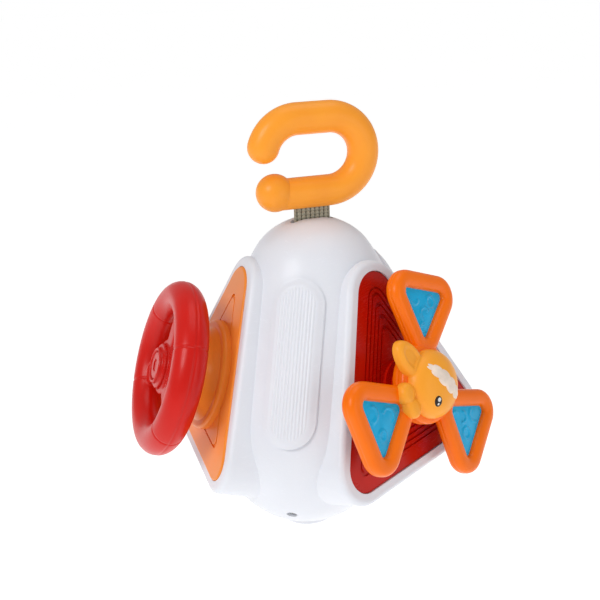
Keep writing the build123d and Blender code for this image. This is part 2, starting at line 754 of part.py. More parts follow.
with BuildPart() as wheel_collar:
    with BuildSketch(section_plane(WHEEL_AXIS)):
        with BuildLine():
            flange_top = WHEEL_PANEL_TOP + COLLAR_FLANGE_T
            Polyline(
                (AXLE_R + RUN_FIT, COLLAR_TOP),
                (AXLE_R + RUN_FIT, SEAT - SEAT_T),
                (SPIGOT_R, SEAT - SEAT_T),
                (SPIGOT_R, WHEEL_PANEL_TOP),
                (COLLAR_R, WHEEL_PANEL_TOP),
                (COLLAR_R, flange_top - COLLAR_ROUND),
            )
            CenterArc((COLLAR_R - COLLAR_ROUND, flange_top - COLLAR_ROUND), COLLAR_ROUND, 0, 90)
            Line((COLLAR_R - COLLAR_ROUND, flange_top), (COLLAR_DOME_R, flange_top))
            SagittaArc((COLLAR_DOME_R, flange_top), (COLLAR_NECK_R, COLLAR_TOP), COLLAR_BULGE)
            Line((COLLAR_NECK_R, COLLAR_TOP), (AXLE_R + RUN_FIT, COLLAR_TOP))
        make_face()
    revolve(axis=along(WHEEL_AXIS))
save(wheel_collar, "wheel_collar")

with BuildPart() as wheel:
    with Locations(RIM):
        Torus(WHEEL_R, RIM_R)
    with BuildSketch(RIM):
        with PolarLocations(0, 3, start_angle=90):
            Rectangle(WHEEL_R, SPOKE_W, align=(Align.MIN, Align.CENTER))
    extrude(amount=SPOKE_T / 2, both=True)
    hub = [(0, -HUB_BACK), (HUB_R, -HUB_BACK), (HUB_R, HUB_STEP_1), (HUB_MID_R, HUB_STEP_1)]
    hub += [(HUB_MID_R, HUB_STEP_2), (HUB_TOP_R, HUB_STEP_2), (HUB_TOP_R, HUB_FRONT), (0, HUB_FRONT)]
    add(turned(RIM, hub))
    # well for the horn button, with a lip that keeps its flange in
    add(turned(RIM, sleeve(HORN_R + HORN_LIP + HORN_PLAY, 0, HORN_WELL)), mode=Mode.SUBTRACT)
    add(turned(RIM, sleeve(HORN_R + HORN_PLAY, 0, HUB_FRONT + 1)), mode=Mode.SUBTRACT)
    add(turned(RIM, sleeve(AXLE_R, -HUB_BACK - 1, -HUB_FLOOR)), mode=Mode.SUBTRACT)
    # four short parting grooves mark the grips
    for side in (0, 180):
        for turn in (side + GRIP_HALF, side - GRIP_HALF):
            with BuildSketch(section_plane(RIM.rotated((0, 0, turn)))):
                with Locations((WHEEL_R, 0)):
                    Circle(RIM_R + GRIP_GROOVE)
                    Circle(RIM_R - GRIP_GROOVE, mode=Mode.SUBTRACT)
                    Rectangle(4 * RIM_R, 2 * RIM_R, align=(Align.CENTER, Align.MAX), mode=Mode.SUBTRACT)
            extrude(amount=GRIP_GROOVE / 2, both=True, mode=Mode.SUBTRACT)

for name, keep in (("wheel_front", Keep.TOP), ("wheel_rear", Keep.BOTTOM)):
    with BuildPart() as half:
        add(wheel.part)
        split(bisect_by=RIM, keep=keep)
    save(half, name)

with BuildPart() as horn_button:
    rest = HORN_WELL - HORN_CLEAR
    stem = [(0, rest - HORN_FLANGE_T), (HORN_R + HORN_LIP, rest - HORN_FLANGE_T)]
    stem += [(HORN_R + HORN_LIP, rest), (HORN_R, rest), (HORN_R, HORN_TOP), (0, HORN_TOP)]
    add(turned(RIM, stem))
    fillet(horn_button.edges().group_by(along(RIM))[-1], HORN_ROUND)
    with BuildSketch(RIM.offset(HORN_TOP)):
        RegularPolygon(HORN_R / 2, 6)
    extrude(amount=-0.6, mode=Mode.SUBTRACT)
save(horn_button, "horn_button")


def coil(radius, wire, height, turns):
    """Compression spring standing on the XY plane."""
    with BuildPart() as solid:
        rise = height - 2 * wire
        with BuildLine():
            Helix(rise / turns, rise, radius, center=(0, 0, wire))
        with BuildSketch(Plane.XZ):
            with Locations((radius, wire)):
                Circle(wire)
        sweep(is_frenet=True)
    return solid.part


with BuildPart() as horn_spring:
    with Locations(RIM):
        add(coil(HORN_R - 2, SPRING_WIRE_R, rest - HORN_FLANGE_T, 3))
save(horn_spring, "horn_spring")


def axle(azimuth, outer_end):
    """Shaft from inside the body out to the turning part, drilled for its retaining screw."""
    plane = face_plane(azimuth, outer_end)
    with BuildPart() as solid:
        with BuildSketch(plane):
            Circle(AXLE_R)
        extrude(amount=-(outer_end - AXLE_IN))
        with BuildSketch(face_plane(azimuth, AXLE_IN)):
            Circle(SCREW_R)
        extrude(amount=AXLE_SCREW_LEN, mode=Mode.SUBTRACT)
    return solid


def retainer(azimuth):
    """Washer that keeps an axle in its bearing."""
    with BuildPart() as solid:
        add(turned(face_plane(azimuth, 0), sleeve(RETAINER_R, AXLE_IN - RETAINER_T, AXLE_IN, SCREW_R)))
    return solid


def inward_screw(azimuth):
    """Screw from inside the body up into an axle."""
    seat = face_plane(azimuth, AXLE_IN - RETAINER_T)
    facing_in = Plane(origin=seat.origin, x_dir=seat.x_dir, z_dir=-seat.z_dir)
    with BuildPart() as solid:
        add(screw(facing_in, AXLE_SCREW_LEN))
    return solid


save(axle(WHEEL_AZ, WHEEL_DIST - HUB_FLOOR), "wheel_axle")
save(retainer(WHEEL_AZ), "wheel_retainer")
save(inward_screw(WHEEL_AZ), "wheel_axle_screw")

# ---------------------------------------------------------------- windmill
MILL_AXIS = face_plane(MILL_AZ, 0)
PANEL_TOP = SEAT + PANEL_T
MILL_UNDER = MILL_DIST - BLADE_T / 2
MILL_TOP = MILL_DIST + BLADE_T / 2


# the windmill is modelled flat, its blades' middle at the origin, and then set on its axle
MILL_PLACE = face_plane(MILL_AZ, MILL_DIST)


def blade_plane(height, number):
    """Plane of one blade of the flat windmill: x across it, y out along it."""
    return Plane.XY.offset(height).rotated((0, 0, -MILL_PHASE - 120 * number))


with BuildPart() as mill_panel:
    top = face_plane(MILL_AZ, PANEL_TOP)
    add(block(top, lambda: panel_outline(0), PANEL_T, 0.6))
    for ridge in range(RIDGES):
        inset = RIDGE_FIRST + ridge * RIDGE_PITCH
        add(ring_groove(top, panel_outline, inset, RIDGE_W, RIDGE_DEPTH), mode=Mode.SUBTRACT)
    cut_outline(top, lambda: Circle(BUSH_R + PANEL_FIT), PANEL_T)
save(mill_panel, "mill_panel")

with BuildPart() as mill_bush:
    corners = [(AXLE_R + RUN_FIT, SEAT - SEAT_T), (BUSH_R, SEAT - SEAT_T), (BUSH_R, PANEL_TOP)]
    corners += [(BUSH_FLANGE_R, PANEL_TOP), (BUSH_FLANGE_R, PANEL_TOP + BUSH_FLANGE_T)]
    corners += [(BUSH_R, PANEL_TOP + BUSH_FLANGE_T), (BUSH_R, MILL_UNDER - PART_GAP)]
    corners += [(AXLE_R + RUN_FIT, MILL_UNDER - PART_GAP)]
    add(turned(MILL_AXIS, corners))
save(mill_bush, "mill_bush")


def blade(number):
    """Solid of one blade's rounded frame, its window cut out."""
    plane = blade_plane(BLADE_T / 2, number)
    with BuildPart() as solid:
        with BuildSketch(plane):
            window_outline(BLADE_RIM)
        extrude(amount=-BLADE_T)
        with BuildSketch(plane):
            window_outline(0)
        extrude(amount=-BLADE_T, mode=Mode.SUBTRACT)
        rims = solid.edges().group_by(Axis.Z)
        fillet(rims[-1] + rims[0], BLADE_ROUND)
        Cylinder(MILL_HUB_R - BLADE_ROOT, 2 * BLADE_T, mode=Mode.SUBTRACT)
    return solid.part


def insert(number, fit):
    """Solid of one window pane, smaller than its groove by fit."""
    plane = blade_plane(INSERT_T / 2, number)
    return block(plane, lambda: window_outline(INSERT_LAP - fit), INSERT_T)


with BuildPart() as mill:
    for number in range(3):
        add(blade(number))
    Cylinder(MILL_HUB_R, BLADE_T)
    for number in range(3):
        add(insert(number, 0), mode=Mode.SUBTRACT)
    with BuildSketch(Plane.XY.offset(MILL_SOCKET)):
        Circle(AXLE_R)
    extrude(amount=-BLADE_T, mode=Mode.SUBTRACT)

for name, keep in (("mill_front", Keep.TOP), ("mill_rear", Keep.BOTTOM)):
    with BuildPart() as flat:
        add(mill.part)
        split(bisect_by=Plane.XY, keep=keep)
    with BuildPart() as half:
        with Locations(MILL_PLACE):
            add(flat.part)
    save(half, name)

for number in range(3):
    with BuildPart() as pane:
        with Locations(MILL_PLACE):
            add(insert(number, INSERT_FIT))
    save(pane, f"mill_window_{number + 1}")

save(axle(MILL_AZ, MILL_DIST + MILL_SOCKET), "mill_axle")
save(retainer(MILL_AZ), "mill_retainer")
save(inward_screw(MILL_AZ), "mill_axle_screw")


# the head is modelled on the XY plane and then set on the hub's face
HEAD_PLACE = face_plane(MILL_AZ, MILL_TOP)


def head_dome(swell):
    """Cap of a sphere for the animal's head, swelled by a skin's thickness."""
    ball_r = (HEAD_R**2 + HEAD_H**2) / (2 * HEAD_H)
    with BuildPart() as solid:
        with Locations((0, 0, HEAD_H - ball_r)):
            Sphere(ball_r + swell)
        split(bisect_by=Plane.XY, keep=Keep.TOP)
    return solid.part


def head_skin(outline, thick):
    """Thin piece that follows the dome inside an outline."""
    with BuildPart() as flat:
        add(head_dome(thick))
        add(block(Plane.XY.offset(2 * HEAD_H), outline, 2 * HEAD_H), mode=Mode.INTERSECT)
        add(head_dome(0), mode=Mode.SUBTRACT)
    with BuildPart() as solid:
        with Locations(HEAD_PLACE):
            add(flat.part)
    return solid


def fleece_outline():
    """Scalloped patch across the crown."""
    turn = radians(FLEECE_TURN)
    with Locations((FLEECE_X, FLEECE_Y)):
        Ellipse(FLEECE_L / 2, FLEECE_W / 2, rotation=FLEECE_TURN)
    for step in range(5):
        forth = (step - 2) * FLEECE_L / 6
        for side in (-1, 1):
            lift = side * (FLEECE_W / 2 - FLEECE_CURL_R / 2)
            x = FLEECE_X + forth * cos(turn) - lift * sin(turn)
            y = FLEECE_Y + forth * sin(turn) + lift * cos(turn)
            with Locations((x, y)):
                Circle(FLEECE_CURL_R)


def eye_outline():
    """Upright oval."""
    with Locations((EYE_X, EYE_Y)):
        Ellipse(EYE_W / 2, EYE_H / 2, rotation=EYE_TURN)


with BuildPart() as flat_head:
    add(head_dome(0))
    with BuildSketch():
        with Locations((EAR_X, EAR_Y)):
            Ellipse(EAR_L / 2, EAR_W / 2, rotation=EAR_TURN)
        with Locations((TUFT_X, TUFT_Y), (TUFT_X + TUFT_R * 0.35, TUFT_Y - TUFT_R * 1.6)):
            Circle(TUFT_R)
    extrude(amount=EAR_T)

with BuildPart() as animal_head:
    with Locations(HEAD_PLACE):
        add(flat_head.part)
save(animal_head, "animal_head")
save(head_skin(fleece_outline, FLEECE_T), "head_fleece")
save(head_skin(eye_outline, EYE_T), "head_eye")

# ---------------------------------------------------------------- music panel and electronics
MUSIC_TOP = face_plane(MUSIC_AZ, PANEL_TOP)
KEY_AT = ((-KEY_LOW_X, KEY_LOW_Y), (KEY_LOW_X, KEY_LOW_Y), (0, KEY_TOP_Y))
DOOR_L = CELL_L + 2 * CONTACT_ROOM + 2 * TRAY_WALL
DOOR_W = 2 * CELL_PITCH + 2 * TRAY_WALL + TRAY_ROOM


def music_plane(height):
    return face_plane(MUSIC_AZ, height)


with BuildPart() as music_panel:
    add(block(MUSIC_TOP, lambda: panel_outline(0), PANEL_T, 0.6))
    with BuildSketch(MUSIC_TOP):
        with Locations(*KEY_AT):
            Circle(KEY_R + KEY_PLAY)
        with Locations((0, LED_Y)):
            Circle(LED_R + PANEL_FIT)
        with Locations((0, SWITCH_Y)):
            SlotOverall(SWITCH_W + SWITCH_TRAVEL + 2 * KEY_PLAY, SWITCH_H + 2 * KEY_PLAY)
        with Locations((0, TRAY_Y)):
            RectangleRounded(DOOR_L + 2 * DOOR_FIT, DOOR_W + 2 * DOOR_FIT, DOOR_CORNER_R)
    extrude(amount=-PANEL_T, mode=Mode.SUBTRACT)
    # posts for the circuit board
    with BuildSketch(music_plane(BOARD_DIST + BOARD_T)):
        with Locations(*POST_AT):
            Circle(POST_R)
    extrude(amount=SEAT + PANEL_T / 2 - BOARD_DIST - BOARD_T)
    with BuildSketch(music_plane(BOARD_DIST + BOARD_T)):
        with Locations(*POST_AT):
            Circle(SCREW_R)
    extrude(amount=BOARD_SCREW_LEN, mode=Mode.SUBTRACT)
save(music_panel, "music_panel")

for number, (x, y) in enumerate(KEY_AT):
    spot = music_plane(0).from_local_coords(Vector(x, y, 0))
    key_axis = Plane(origin=spot, x_dir=MUSIC_TOP.x_dir, z_dir=MUSIC_TOP.z_dir)
    under = SEAT - KEY_GAP
    with BuildPart() as key:
        corners = [(0, KEY_STEM_END), (KEY_STEM_R, KEY_STEM_END), (KEY_STEM_R, under - KEY_FLANGE_T)]
        corners += [(KEY_R + KEY_LIP, under - KEY_FLANGE_T), (KEY_R + KEY_LIP, under), (KEY_R, under)]
        corners += [(KEY_R, PANEL_TOP + KEY_PROUD), (0, PANEL_TOP + KEY_PROUD)]
        add(turned(key_axis, corners))
        fillet(key.edges().group_by(along(key_axis))[-1], KEY_ROUND)
    save(key, f"music_key_{number + 1}")

with BuildPart() as key_domes:
    for x, y in KEY_AT:
        with BuildSketch(music_plane(BOARD_DIST + BOARD_T)):
            with Locations((x, y)):
                Circle(KEY_STEM_R + DOME_SKIRT)
        extrude(amount=KEY_STEM_END - BOARD_DIST - BOARD_T, taper=DOME_TAPER)
save(key_domes, "key_domes")

with BuildPart() as circuit_board:
    with BuildSketch(music_plane(BOARD_DIST)):
        with Locations((0, BOARD_Y)):
            RectangleRounded(BOARD_W, BOARD_H, BOARD_CORNER_R)
    extrude(amount=BOARD_T)
    with BuildSketch(music_plane(BOARD_DIST)):
        with Locations(*CHIP_AT):
            Rectangle(CHIP_W, CHIP_W)
    extrude(amount=-CHIP_T)
    with BuildSketch(music_plane(BOARD_DIST)):
        with Locations(*POST_AT):
            Circle(SCREW_R + SCREW_PLAY)
    extrude(amount=BOARD_T, mode=Mode.SUBTRACT)
save(circuit_board, "circuit_board")

with BuildPart() as board_screws:
    for x, y in POST_AT:
        spot = music_plane(BOARD_DIST).from_local_coords(Vector(x, y, 0))
        head_seat = Plane(origin=spot, x_dir=MUSIC_TOP.x_dir, z_dir=-MUSIC_TOP.z_dir)
        add(screw(head_seat, BOARD_T + BOARD_SCREW_LEN))
save(board_screws, "board_screws")

with BuildPart() as status_light:
    corners = [(0, BOARD_DIST + BOARD_T), (LED_R, BOARD_DIST + BOARD_T), (LED_R, PANEL_TOP + 1)]
    corners += [(0, PANEL_TOP + 1)]
    spot = music_plane(0).from_local_coords(Vector(0, LED_Y, 0))
    led_axis = Plane(origin=spot, x_dir=MUSIC_TOP.x_dir, z_dir=MUSIC_TOP.z_dir)
    add(turned(led_axis, corners))
    fillet(status_light.edges().group_by(along(led_axis))[-1], LED_R * 0.4)
save(status_light, "status_light")

with BuildPart() as power_slider:
    with BuildSketch(music_plane(SEAT - KEY_GAP)):
        with Locations((-SWITCH_TRAVEL / 2, SWITCH_Y)):
            SlotOverall(SWITCH_W + SWITCH_TRAVEL + 2 * SWITCH_LAP, SWITCH_H + SWITCH_LAP)
    extrude(amount=-SWITCH_FLANGE_T)
    with BuildSketch(music_plane(SEAT - KEY_GAP)):
        with Locations((-SWITCH_TRAVEL / 2, SWITCH_Y)):
            SlotOverall(SWITCH_W, SWITCH_H)
    extrude(amount=KEY_GAP + PANEL_T + SWITCH_PROUD)
    with BuildSketch(music_plane(PANEL_TOP + SWITCH_PROUD)):
        with Locations((-SWITCH_TRAVEL / 2, SWITCH_Y)):
            with GridLocations(SWITCH_W / 4, 0, 3, 1):
                Rectangle(SWITCH_W / 12, SWITCH_H)
    extrude(amount=-SWITCH_PROUD / 2, mode=Mode.SUBTRACT)
save(power_slider, "power_slider")

DOOR_SCREW_Y = TRAY_Y + DOOR_W / 2 - DOOR_SCREW_IN
with BuildPart() as battery_tray:
    with BuildSketch(music_plane(SEAT)):
        with Locations((0, TRAY_Y)):
            RectangleRounded(DOOR_L + 2 * TRAY_WALL, DOOR_W + 2 * TRAY_WALL, DOOR_CORNER_R)
    extrude(amount=-TRAY_DEPTH)
    with BuildSketch(music_plane(SEAT)):
        with Locations((0, TRAY_Y)):
            Rectangle(DOOR_L - 2 * TRAY_WALL, DOOR_W - 2 * TRAY_WALL)
    extrude(amount=TRAY_WALL - TRAY_DEPTH, mode=Mode.SUBTRACT)
    # post for the door's screw, between the cells
    with BuildSketch(music_plane(SEAT)):
        with Locations((0, DOOR_SCREW_Y)):
            Circle(SCREW_HEAD_R)
    extrude(amount=-TRAY_DEPTH)
    with BuildSketch(music_plane(SEAT)):
        with Locations((0, DOOR_SCREW_Y)):
            Circle(SCREW_R)
    extrude(amount=-DOOR_SCREW_LEN, mode=Mode.SUBTRACT)
save(battery_tray, "battery_tray")

for number in range(2):
    y = TRAY_Y - TRAY_ROOM / 2 + (number - 0.5) * CELL_PITCH
    spot = music_plane(CELL_DIST).from_local_coords(Vector(-CELL_L / 2, y, 0))
    cell_end = Plane(origin=spot, x_dir=MUSIC_TOP.z_dir, z_dir=MUSIC_TOP.x_dir)
    with BuildPart() as cell:
        with BuildSketch(cell_end):
            Circle(CELL_R)
        extrude(amount=CELL_L - CELL_NIB)
        with BuildSketch(cell_end.offset(CELL_L - CELL_NIB)):
            Circle(CELL_R / 3)
        extrude(amount=CELL_NIB)
    save(cell, f"battery_cell_{number + 1}")

with BuildPart() as battery_contacts:
    for side in (-1, 1):
        for number in range(2):
            y = TRAY_Y - TRAY_ROOM / 2 + (number - 0.5) * CELL_PITCH
            with BuildSketch(music_plane(CELL_DIST - CELL_R)):
                with Locations((side * (CELL_L / 2 + CONTACT_ROOM / 2), y)):
                    Rectangle(CONTACT_ROOM - 0.4, CELL_R)
            extrude(amount=2 * CELL_R)
save(battery_contacts, "battery_contacts")

with BuildPart() as battery_door:
    with BuildSketch(MUSIC_TOP):
        with Locations((0, TRAY_Y)):
            RectangleRounded(DOOR_L, DOOR_W, DOOR_CORNER_R - DOOR_FIT)
    extrude(amount=-PANEL_T)
    fillet(battery_door.edges().group_by(along(MUSIC_TOP))[-1], DOOR_ROUND)
    with BuildSketch(MUSIC_TOP):
        with Locations((0, DOOR_SCREW_Y)):
            Circle(SCREW_HEAD_R + SCREW_PLAY)
    extrude(amount=-SCREW_HEAD_T, mode=Mode.SUBTRACT)
    with BuildSketch(MUSIC_TOP):
        with Locations((0, DOOR_SCREW_Y)):
            Circle(SCREW_R + SCREW_PLAY)
        with Locations((0, TRAY_Y - DOOR_W / 4)):
            with GridLocations(3, 0, 5, 1):
                SlotOverall(DOOR_W / 4, 1.2, rotation=90)
    extrude(amount=-PANEL_T, mode=Mode.SUBTRACT)
save(battery_door, "battery_door")

with BuildPart() as door_screw:
    spot = MUSIC_TOP.from_local_coords(Vector(0, DOOR_SCREW_Y, -SCREW_HEAD_T))
    head_seat = Plane(origin=spot, x_dir=MUSIC_TOP.x_dir, z_dir=MUSIC_TOP.z_dir)
    add(screw(head_seat, PANEL_T - SCREW_HEAD_T + DOOR_SCREW_LEN))
save(door_screw, "door_screw")

# ---------------------------------------------------------------- base, speaker and gear lever
BASE_AXIS = base_plane(0)
BASE_PANEL_TOP = BASE_SEAT + PANEL_T

with BuildPart() as base_panel:
    add(block(base_plane(BASE_PANEL_TOP), lambda: base_outline(0), PANEL_T, 0.6))
    with BuildSketch(base_plane(BASE_PANEL_TOP)):
        SlotOverall(SLOT_L, SLOT_W, rotation=90)
        with Locations((0, SPEAKER_Y)):
            with PolarLocations(GRILLE_RING_R, 6):
                Circle(GRILLE_R)
            Circle(GRILLE_R)
    extrude(amount=-PANEL_T, mode=Mode.SUBTRACT)
    # lugs for the lever's pin
    with BuildSketch(base_plane(BASE_SEAT)):
        with Locations((LEVER_LUG_X, 0), (-LEVER_LUG_X, 0)):
            Rectangle(LUG_T, 2 * LEVER_BOSS_R)
    extrude(amount=-(BASE_SEAT - PIVOT_DIST + LEVER_PIN_R + LUG_BEYOND))
    with BuildSketch(Plane.YZ.offset(-LEVER_LUG_X - LUG_T)):
        with Locations((0, -BODY_DROP - PIVOT_DIST)):
            Circle(LEVER_PIN_R)
    extrude(amount=2 * (LEVER_LUG_X + LUG_T), mode=Mode.SUBTRACT)
save(base_panel, "base_panel")

with BuildPart() as lever_boot:
    corners = [(0, BASE_PANEL_TOP), (BOOT_R, BASE_PANEL_TOP), (BOOT_R, BASE_PANEL_TOP + BOOT_H / 3)]
    corners += [(BOOT_R * 0.8, BASE_PANEL_TOP + BOOT_H), (0, BASE_PANEL_TOP + BOOT_H)]
    add(turned(BASE_AXIS, corners))
    with BuildSketch(base_plane(BASE_PANEL_TOP + BOOT_H)):
        SlotOverall(SLOT_L, SLOT_W, rotation=90)
    extrude(amount=-BOOT_H, mode=Mode.SUBTRACT)
save(lever_boot, "lever_boot")

with BuildPart() as gear_lever:
    with BuildSketch(Plane.YZ.offset(-LEVER_BOSS_W / 2)):
        with Locations((0, -BODY_DROP - PIVOT_DIST)):
            Circle(LEVER_BOSS_R)
    extrude(amount=LEVER_BOSS_W)
    add(turned(BASE_AXIS, [(0, PIVOT_DIST), (STEM_R, PIVOT_DIST), (STEM_NECK_R, KNOB_DIST), (0, KNOB_DIST)]))
    with BuildSketch(Plane.YZ.offset(-LEVER_BOSS_W)):
        with Locations((0, -BODY_DROP - PIVOT_DIST)):
            Circle(LEVER_PIN_R + RUN_FIT)
    extrude(amount=2 * LEVER_BOSS_W, mode=Mode.SUBTRACT)
save(gear_lever, "gear_lever")

with BuildPart() as lever_knob:
    with Locations(base_plane(KNOB_DIST)):
        Sphere(KNOB_R)
        Cylinder(STEM_R + 1.5, KNOB_R, align=(Align.CENTER, Align.CENTER, Align.MAX))
    add(gear_lever.part, mode=Mode.SUBTRACT)
save(lever_knob, "lever_knob")

with BuildPart() as lever_pin:
    with BuildSketch(Plane.YZ.offset(-LEVER_LUG_X - LUG_T / 2)):
        with Locations((0, -BODY_DROP - PIVOT_DIST)):
            Circle(LEVER_PIN_R)
    extrude(amount=2 * LEVER_LUG_X + LUG_T)
save(lever_pin, "lever_pin")

with BuildPart() as speaker:
    with BuildSketch(base_plane(BASE_SEAT)):
        with Locations((0, SPEAKER_Y)):
            Circle(SPEAKER_R)
    extrude(amount=-SPEAKER_T / 3)
    with BuildSketch(base_plane(BASE_SEAT - SPEAKER_T / 3)):
        with Locations((0, SPEAKER_Y)):
            Circle(SPEAKER_R * 0.6)
    extrude(amount=-SPEAKER_T * 2 / 3)
save(speaker, "speaker")
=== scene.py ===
"""Looks for the hanging activity toy: a rounded pyramid on a knitted strap and a C-shaped clip.

Metres, in the frame of the CAD model: the origin is where the clip hangs and +Z is up.
"""

from math import asin, atan2, copysign, cos, degrees, hypot, pi, radians, sin, sqrt, tan

import bmesh
import bpy
from mathutils import Matrix, Vector


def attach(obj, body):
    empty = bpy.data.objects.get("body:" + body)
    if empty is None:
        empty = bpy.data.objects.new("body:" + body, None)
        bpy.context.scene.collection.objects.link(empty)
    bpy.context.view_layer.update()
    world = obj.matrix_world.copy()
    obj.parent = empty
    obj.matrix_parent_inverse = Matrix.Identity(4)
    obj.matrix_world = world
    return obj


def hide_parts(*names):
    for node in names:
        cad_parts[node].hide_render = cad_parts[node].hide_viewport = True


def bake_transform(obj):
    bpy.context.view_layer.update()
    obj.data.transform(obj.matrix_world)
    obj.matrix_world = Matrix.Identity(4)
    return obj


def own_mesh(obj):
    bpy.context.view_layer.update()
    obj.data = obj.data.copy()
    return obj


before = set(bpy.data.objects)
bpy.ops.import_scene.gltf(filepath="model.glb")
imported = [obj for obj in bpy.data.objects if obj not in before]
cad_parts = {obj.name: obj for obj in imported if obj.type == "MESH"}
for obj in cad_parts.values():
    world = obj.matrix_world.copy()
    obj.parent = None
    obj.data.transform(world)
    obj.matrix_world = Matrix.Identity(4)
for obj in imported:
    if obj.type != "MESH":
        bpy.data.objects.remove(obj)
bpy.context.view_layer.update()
MM = 0.001

# ---------------------------------------------------------------- places, from the part
BODY_DROP = 181.53 * MM
FACE_TILT = 19.47
PANEL_RISE = 4.4 * MM
CLIP_YAW = 30.0
WHEEL_AZ = -60.0
MILL_AZ = 60.0


def face_frame(azimuth, height):
    """Matrix of a plane parallel to a side face: x to the right, y up the face, z outwards."""
    turn, lean = radians(azimuth), radians(FACE_TILT)
    out = Vector((sin(turn) * cos(lean), -cos(turn) * cos(lean), sin(lean)))
    up = Vector((-sin(turn) * sin(lean), cos(turn) * sin(lean), cos(lean)))
    right = Vector((cos(turn), sin(turn), 0))
    middle = Vector((0, 0, -BODY_DROP)) + out * height + up * PANEL_RISE
    place = Matrix((right, up, out)).transposed().to_4x4()
    place.translation = middle
    return place


# ---------------------------------------------------------------- materials
def linear(rgb):
    """Linear colour of an sRGB triple from 0 to 255."""
    scaled = [c / 255 for c in rgb]
    return tuple(c / 12.92 if c < 0.04045 else ((c + 0.055) / 1.055) ** 2.4 for c in scaled) + (1.0,)


class Finish:
    """A node material on a Principled shader, with its textures in the object's own metres."""

    def __init__(self, name):
        self.material = bpy.data.materials.new(name)
        self.material.use_nodes = True
        self.tree = self.material.node_tree
        self.shader = next(n for n in self.tree.nodes if n.type == "BSDF_PRINCIPLED")
        self.place = self.tree.nodes.new("ShaderNodeTexCoord").outputs["Object"]

    def put(self, **values):
        """Sets constants on the shader's sockets, with underscores for spaces."""
        for key, value in values.items():
            self.shader.inputs[key.replace("_", " ")].default_value = value
        return self

    def stretched(self, scale):
        """The object's place, scaled by a different amount along each axis."""
        node = self.tree.nodes.new("ShaderNodeMapping")
        node.inputs["Scale"].default_value = scale
        self.tree.links.new(self.place, node.inputs["Vector"])
        return node.outputs["Vector"]

    def noise(self, size, detail=3.0, place=None, warp=0.0):
        """Noise whose blotches are about size metres across."""
        node = self.tree.nodes.new("ShaderNodeTexNoise")
        node.inputs["Scale"].default_value = 1 / size
        node.inputs["Detail"].default_value = detail
        node.inputs["Distortion"].default_value = warp
        self.tree.links.new(place or self.place, node.inputs["Vector"])
        return node.outputs[0]

    def spread(self, value, low, high, start=0.3, end=0.7):
        """Maps value from start..end to low..high."""
        node = self.tree.nodes.new("ShaderNodeMapRange")
        for key, number in zip(("From Min", "From Max", "To Min", "To Max"), (start, end, low, high)):
            node.inputs[key].default_value = number
        self.tree.links.new(value, node.inputs["Value"])
        return node.outputs["Result"]

    def join(self, kind, a, b):
        """A Math node of two values."""
        node = self.tree.nodes.new("ShaderNodeMath")
        node.operation = kind
        for socket, value in zip(node.inputs, (a, b)):
            if isinstance(value, (int, float)):
                socket.default_value = value
            else:
                self.tree.links.new(value, socket)
        return node.outputs[0]

    def blend(self, value, first, second):
        """A colour between two, by value."""
        node = self.tree.nodes.new("ShaderNodeMix")
        node.data_type = "RGBA"
        factor, a, b = node.inputs[0], node.inputs[6], node.inputs[7]
        self.tree.links.new(value, factor)
        for socket, colour in ((a, first), (b, second)):
            if isinstance(colour, tuple):
                socket.default_value = colour
            else:
                self.tree.links.new(colour, socket)
        return node.outputs[2]

    def colour(self, value):
        self.tree.links.new(value, self.shader.inputs["Base Color"])
        return self

    def rough(self, value):
        self.tree.links.new(value, self.shader.inputs["Roughness"])
        return self

    def bumps(self, *layers):
        """Adds bump layers, each a height value and its depth in metres."""
        normal = None
        for height, depth in layers:
            node = self.tree.nodes.new("ShaderNodeBump")
            node.inputs["Distance"].default_value = depth
            self.tree.links.new(height, node.inputs["Height"])
            if normal is not None:
                self.tree.links.new(normal, node.inputs["Normal"])
            normal = node.outputs["Normal"]
        self.tree.links.new(normal, self.shader.inputs["Normal"])
        return self


def tint(rgb, gain):
    return tuple(min(1.0, c * gain) for c in linear(rgb)[:3]) + (1.0,)


def plastic(name, rgb, rough=0.3, coat=0.3, peel=0.03 * MM, soft=0.0, vary=0.05):
    """Moulded plastic: slight flow marks in its colour, orange peel, and faint rubbed scratches."""
    made = Finish(name).put(IOR=1.49, Specular_IOR_Level=0.22, Coat_Weight=coat * 0.25, Coat_Roughness=0.16)
    flow = made.noise(38 * MM, warp=0.6)
    grain = made.noise(0.8 * MM, detail=2.0)
    rubbed = made.noise(5 * MM, detail=6.0, place=made.stretched((1.0, 0.16, 3.1)), warp=1.8)
    shade = made.blend(made.spread(flow, 0, 1), tint(rgb, 1 - vary), tint(rgb, 1 + vary))
    made.colour(made.blend(made.spread(rubbed, 0, 0.16, 0.58, 0.72), shade, tint(rgb, 1.18)))
    worn = made.spread(rubbed, 0.0, 0.12, 0.55, 0.75)
    made.rough(made.join("ADD", made.spread(flow, rough - 0.03, rough + 0.04), worn))
    made.bumps((made.noise(9 * MM), 0.05 * MM), (grain, peel))
    if soft:
        made.put(Subsurface_Weight=soft, Subsurface_Radius=(1.0, 0.7, 0.5), Subsurface_Scale=2 * MM)
    return made.material


def rubber(name, rgb, rough=0.55):
    """Silicone or soft vinyl: matt, finely pitted, with dusty blotches in its colour."""
    made = Finish(name).put(IOR=1.42, Sheen_Weight=0.15)
    dust = made.noise(6 * MM, detail=6.0)
    made.colour(made.blend(made.spread(dust, 0, 1), tint(rgb, 0.9), tint(rgb, 1.12)))
    made.rough(made.spread(dust, rough - 0.06, rough + 0.08))
    made.bumps((made.noise(0.5 * MM, detail=2.0), 0.06 * MM))
    return made.material


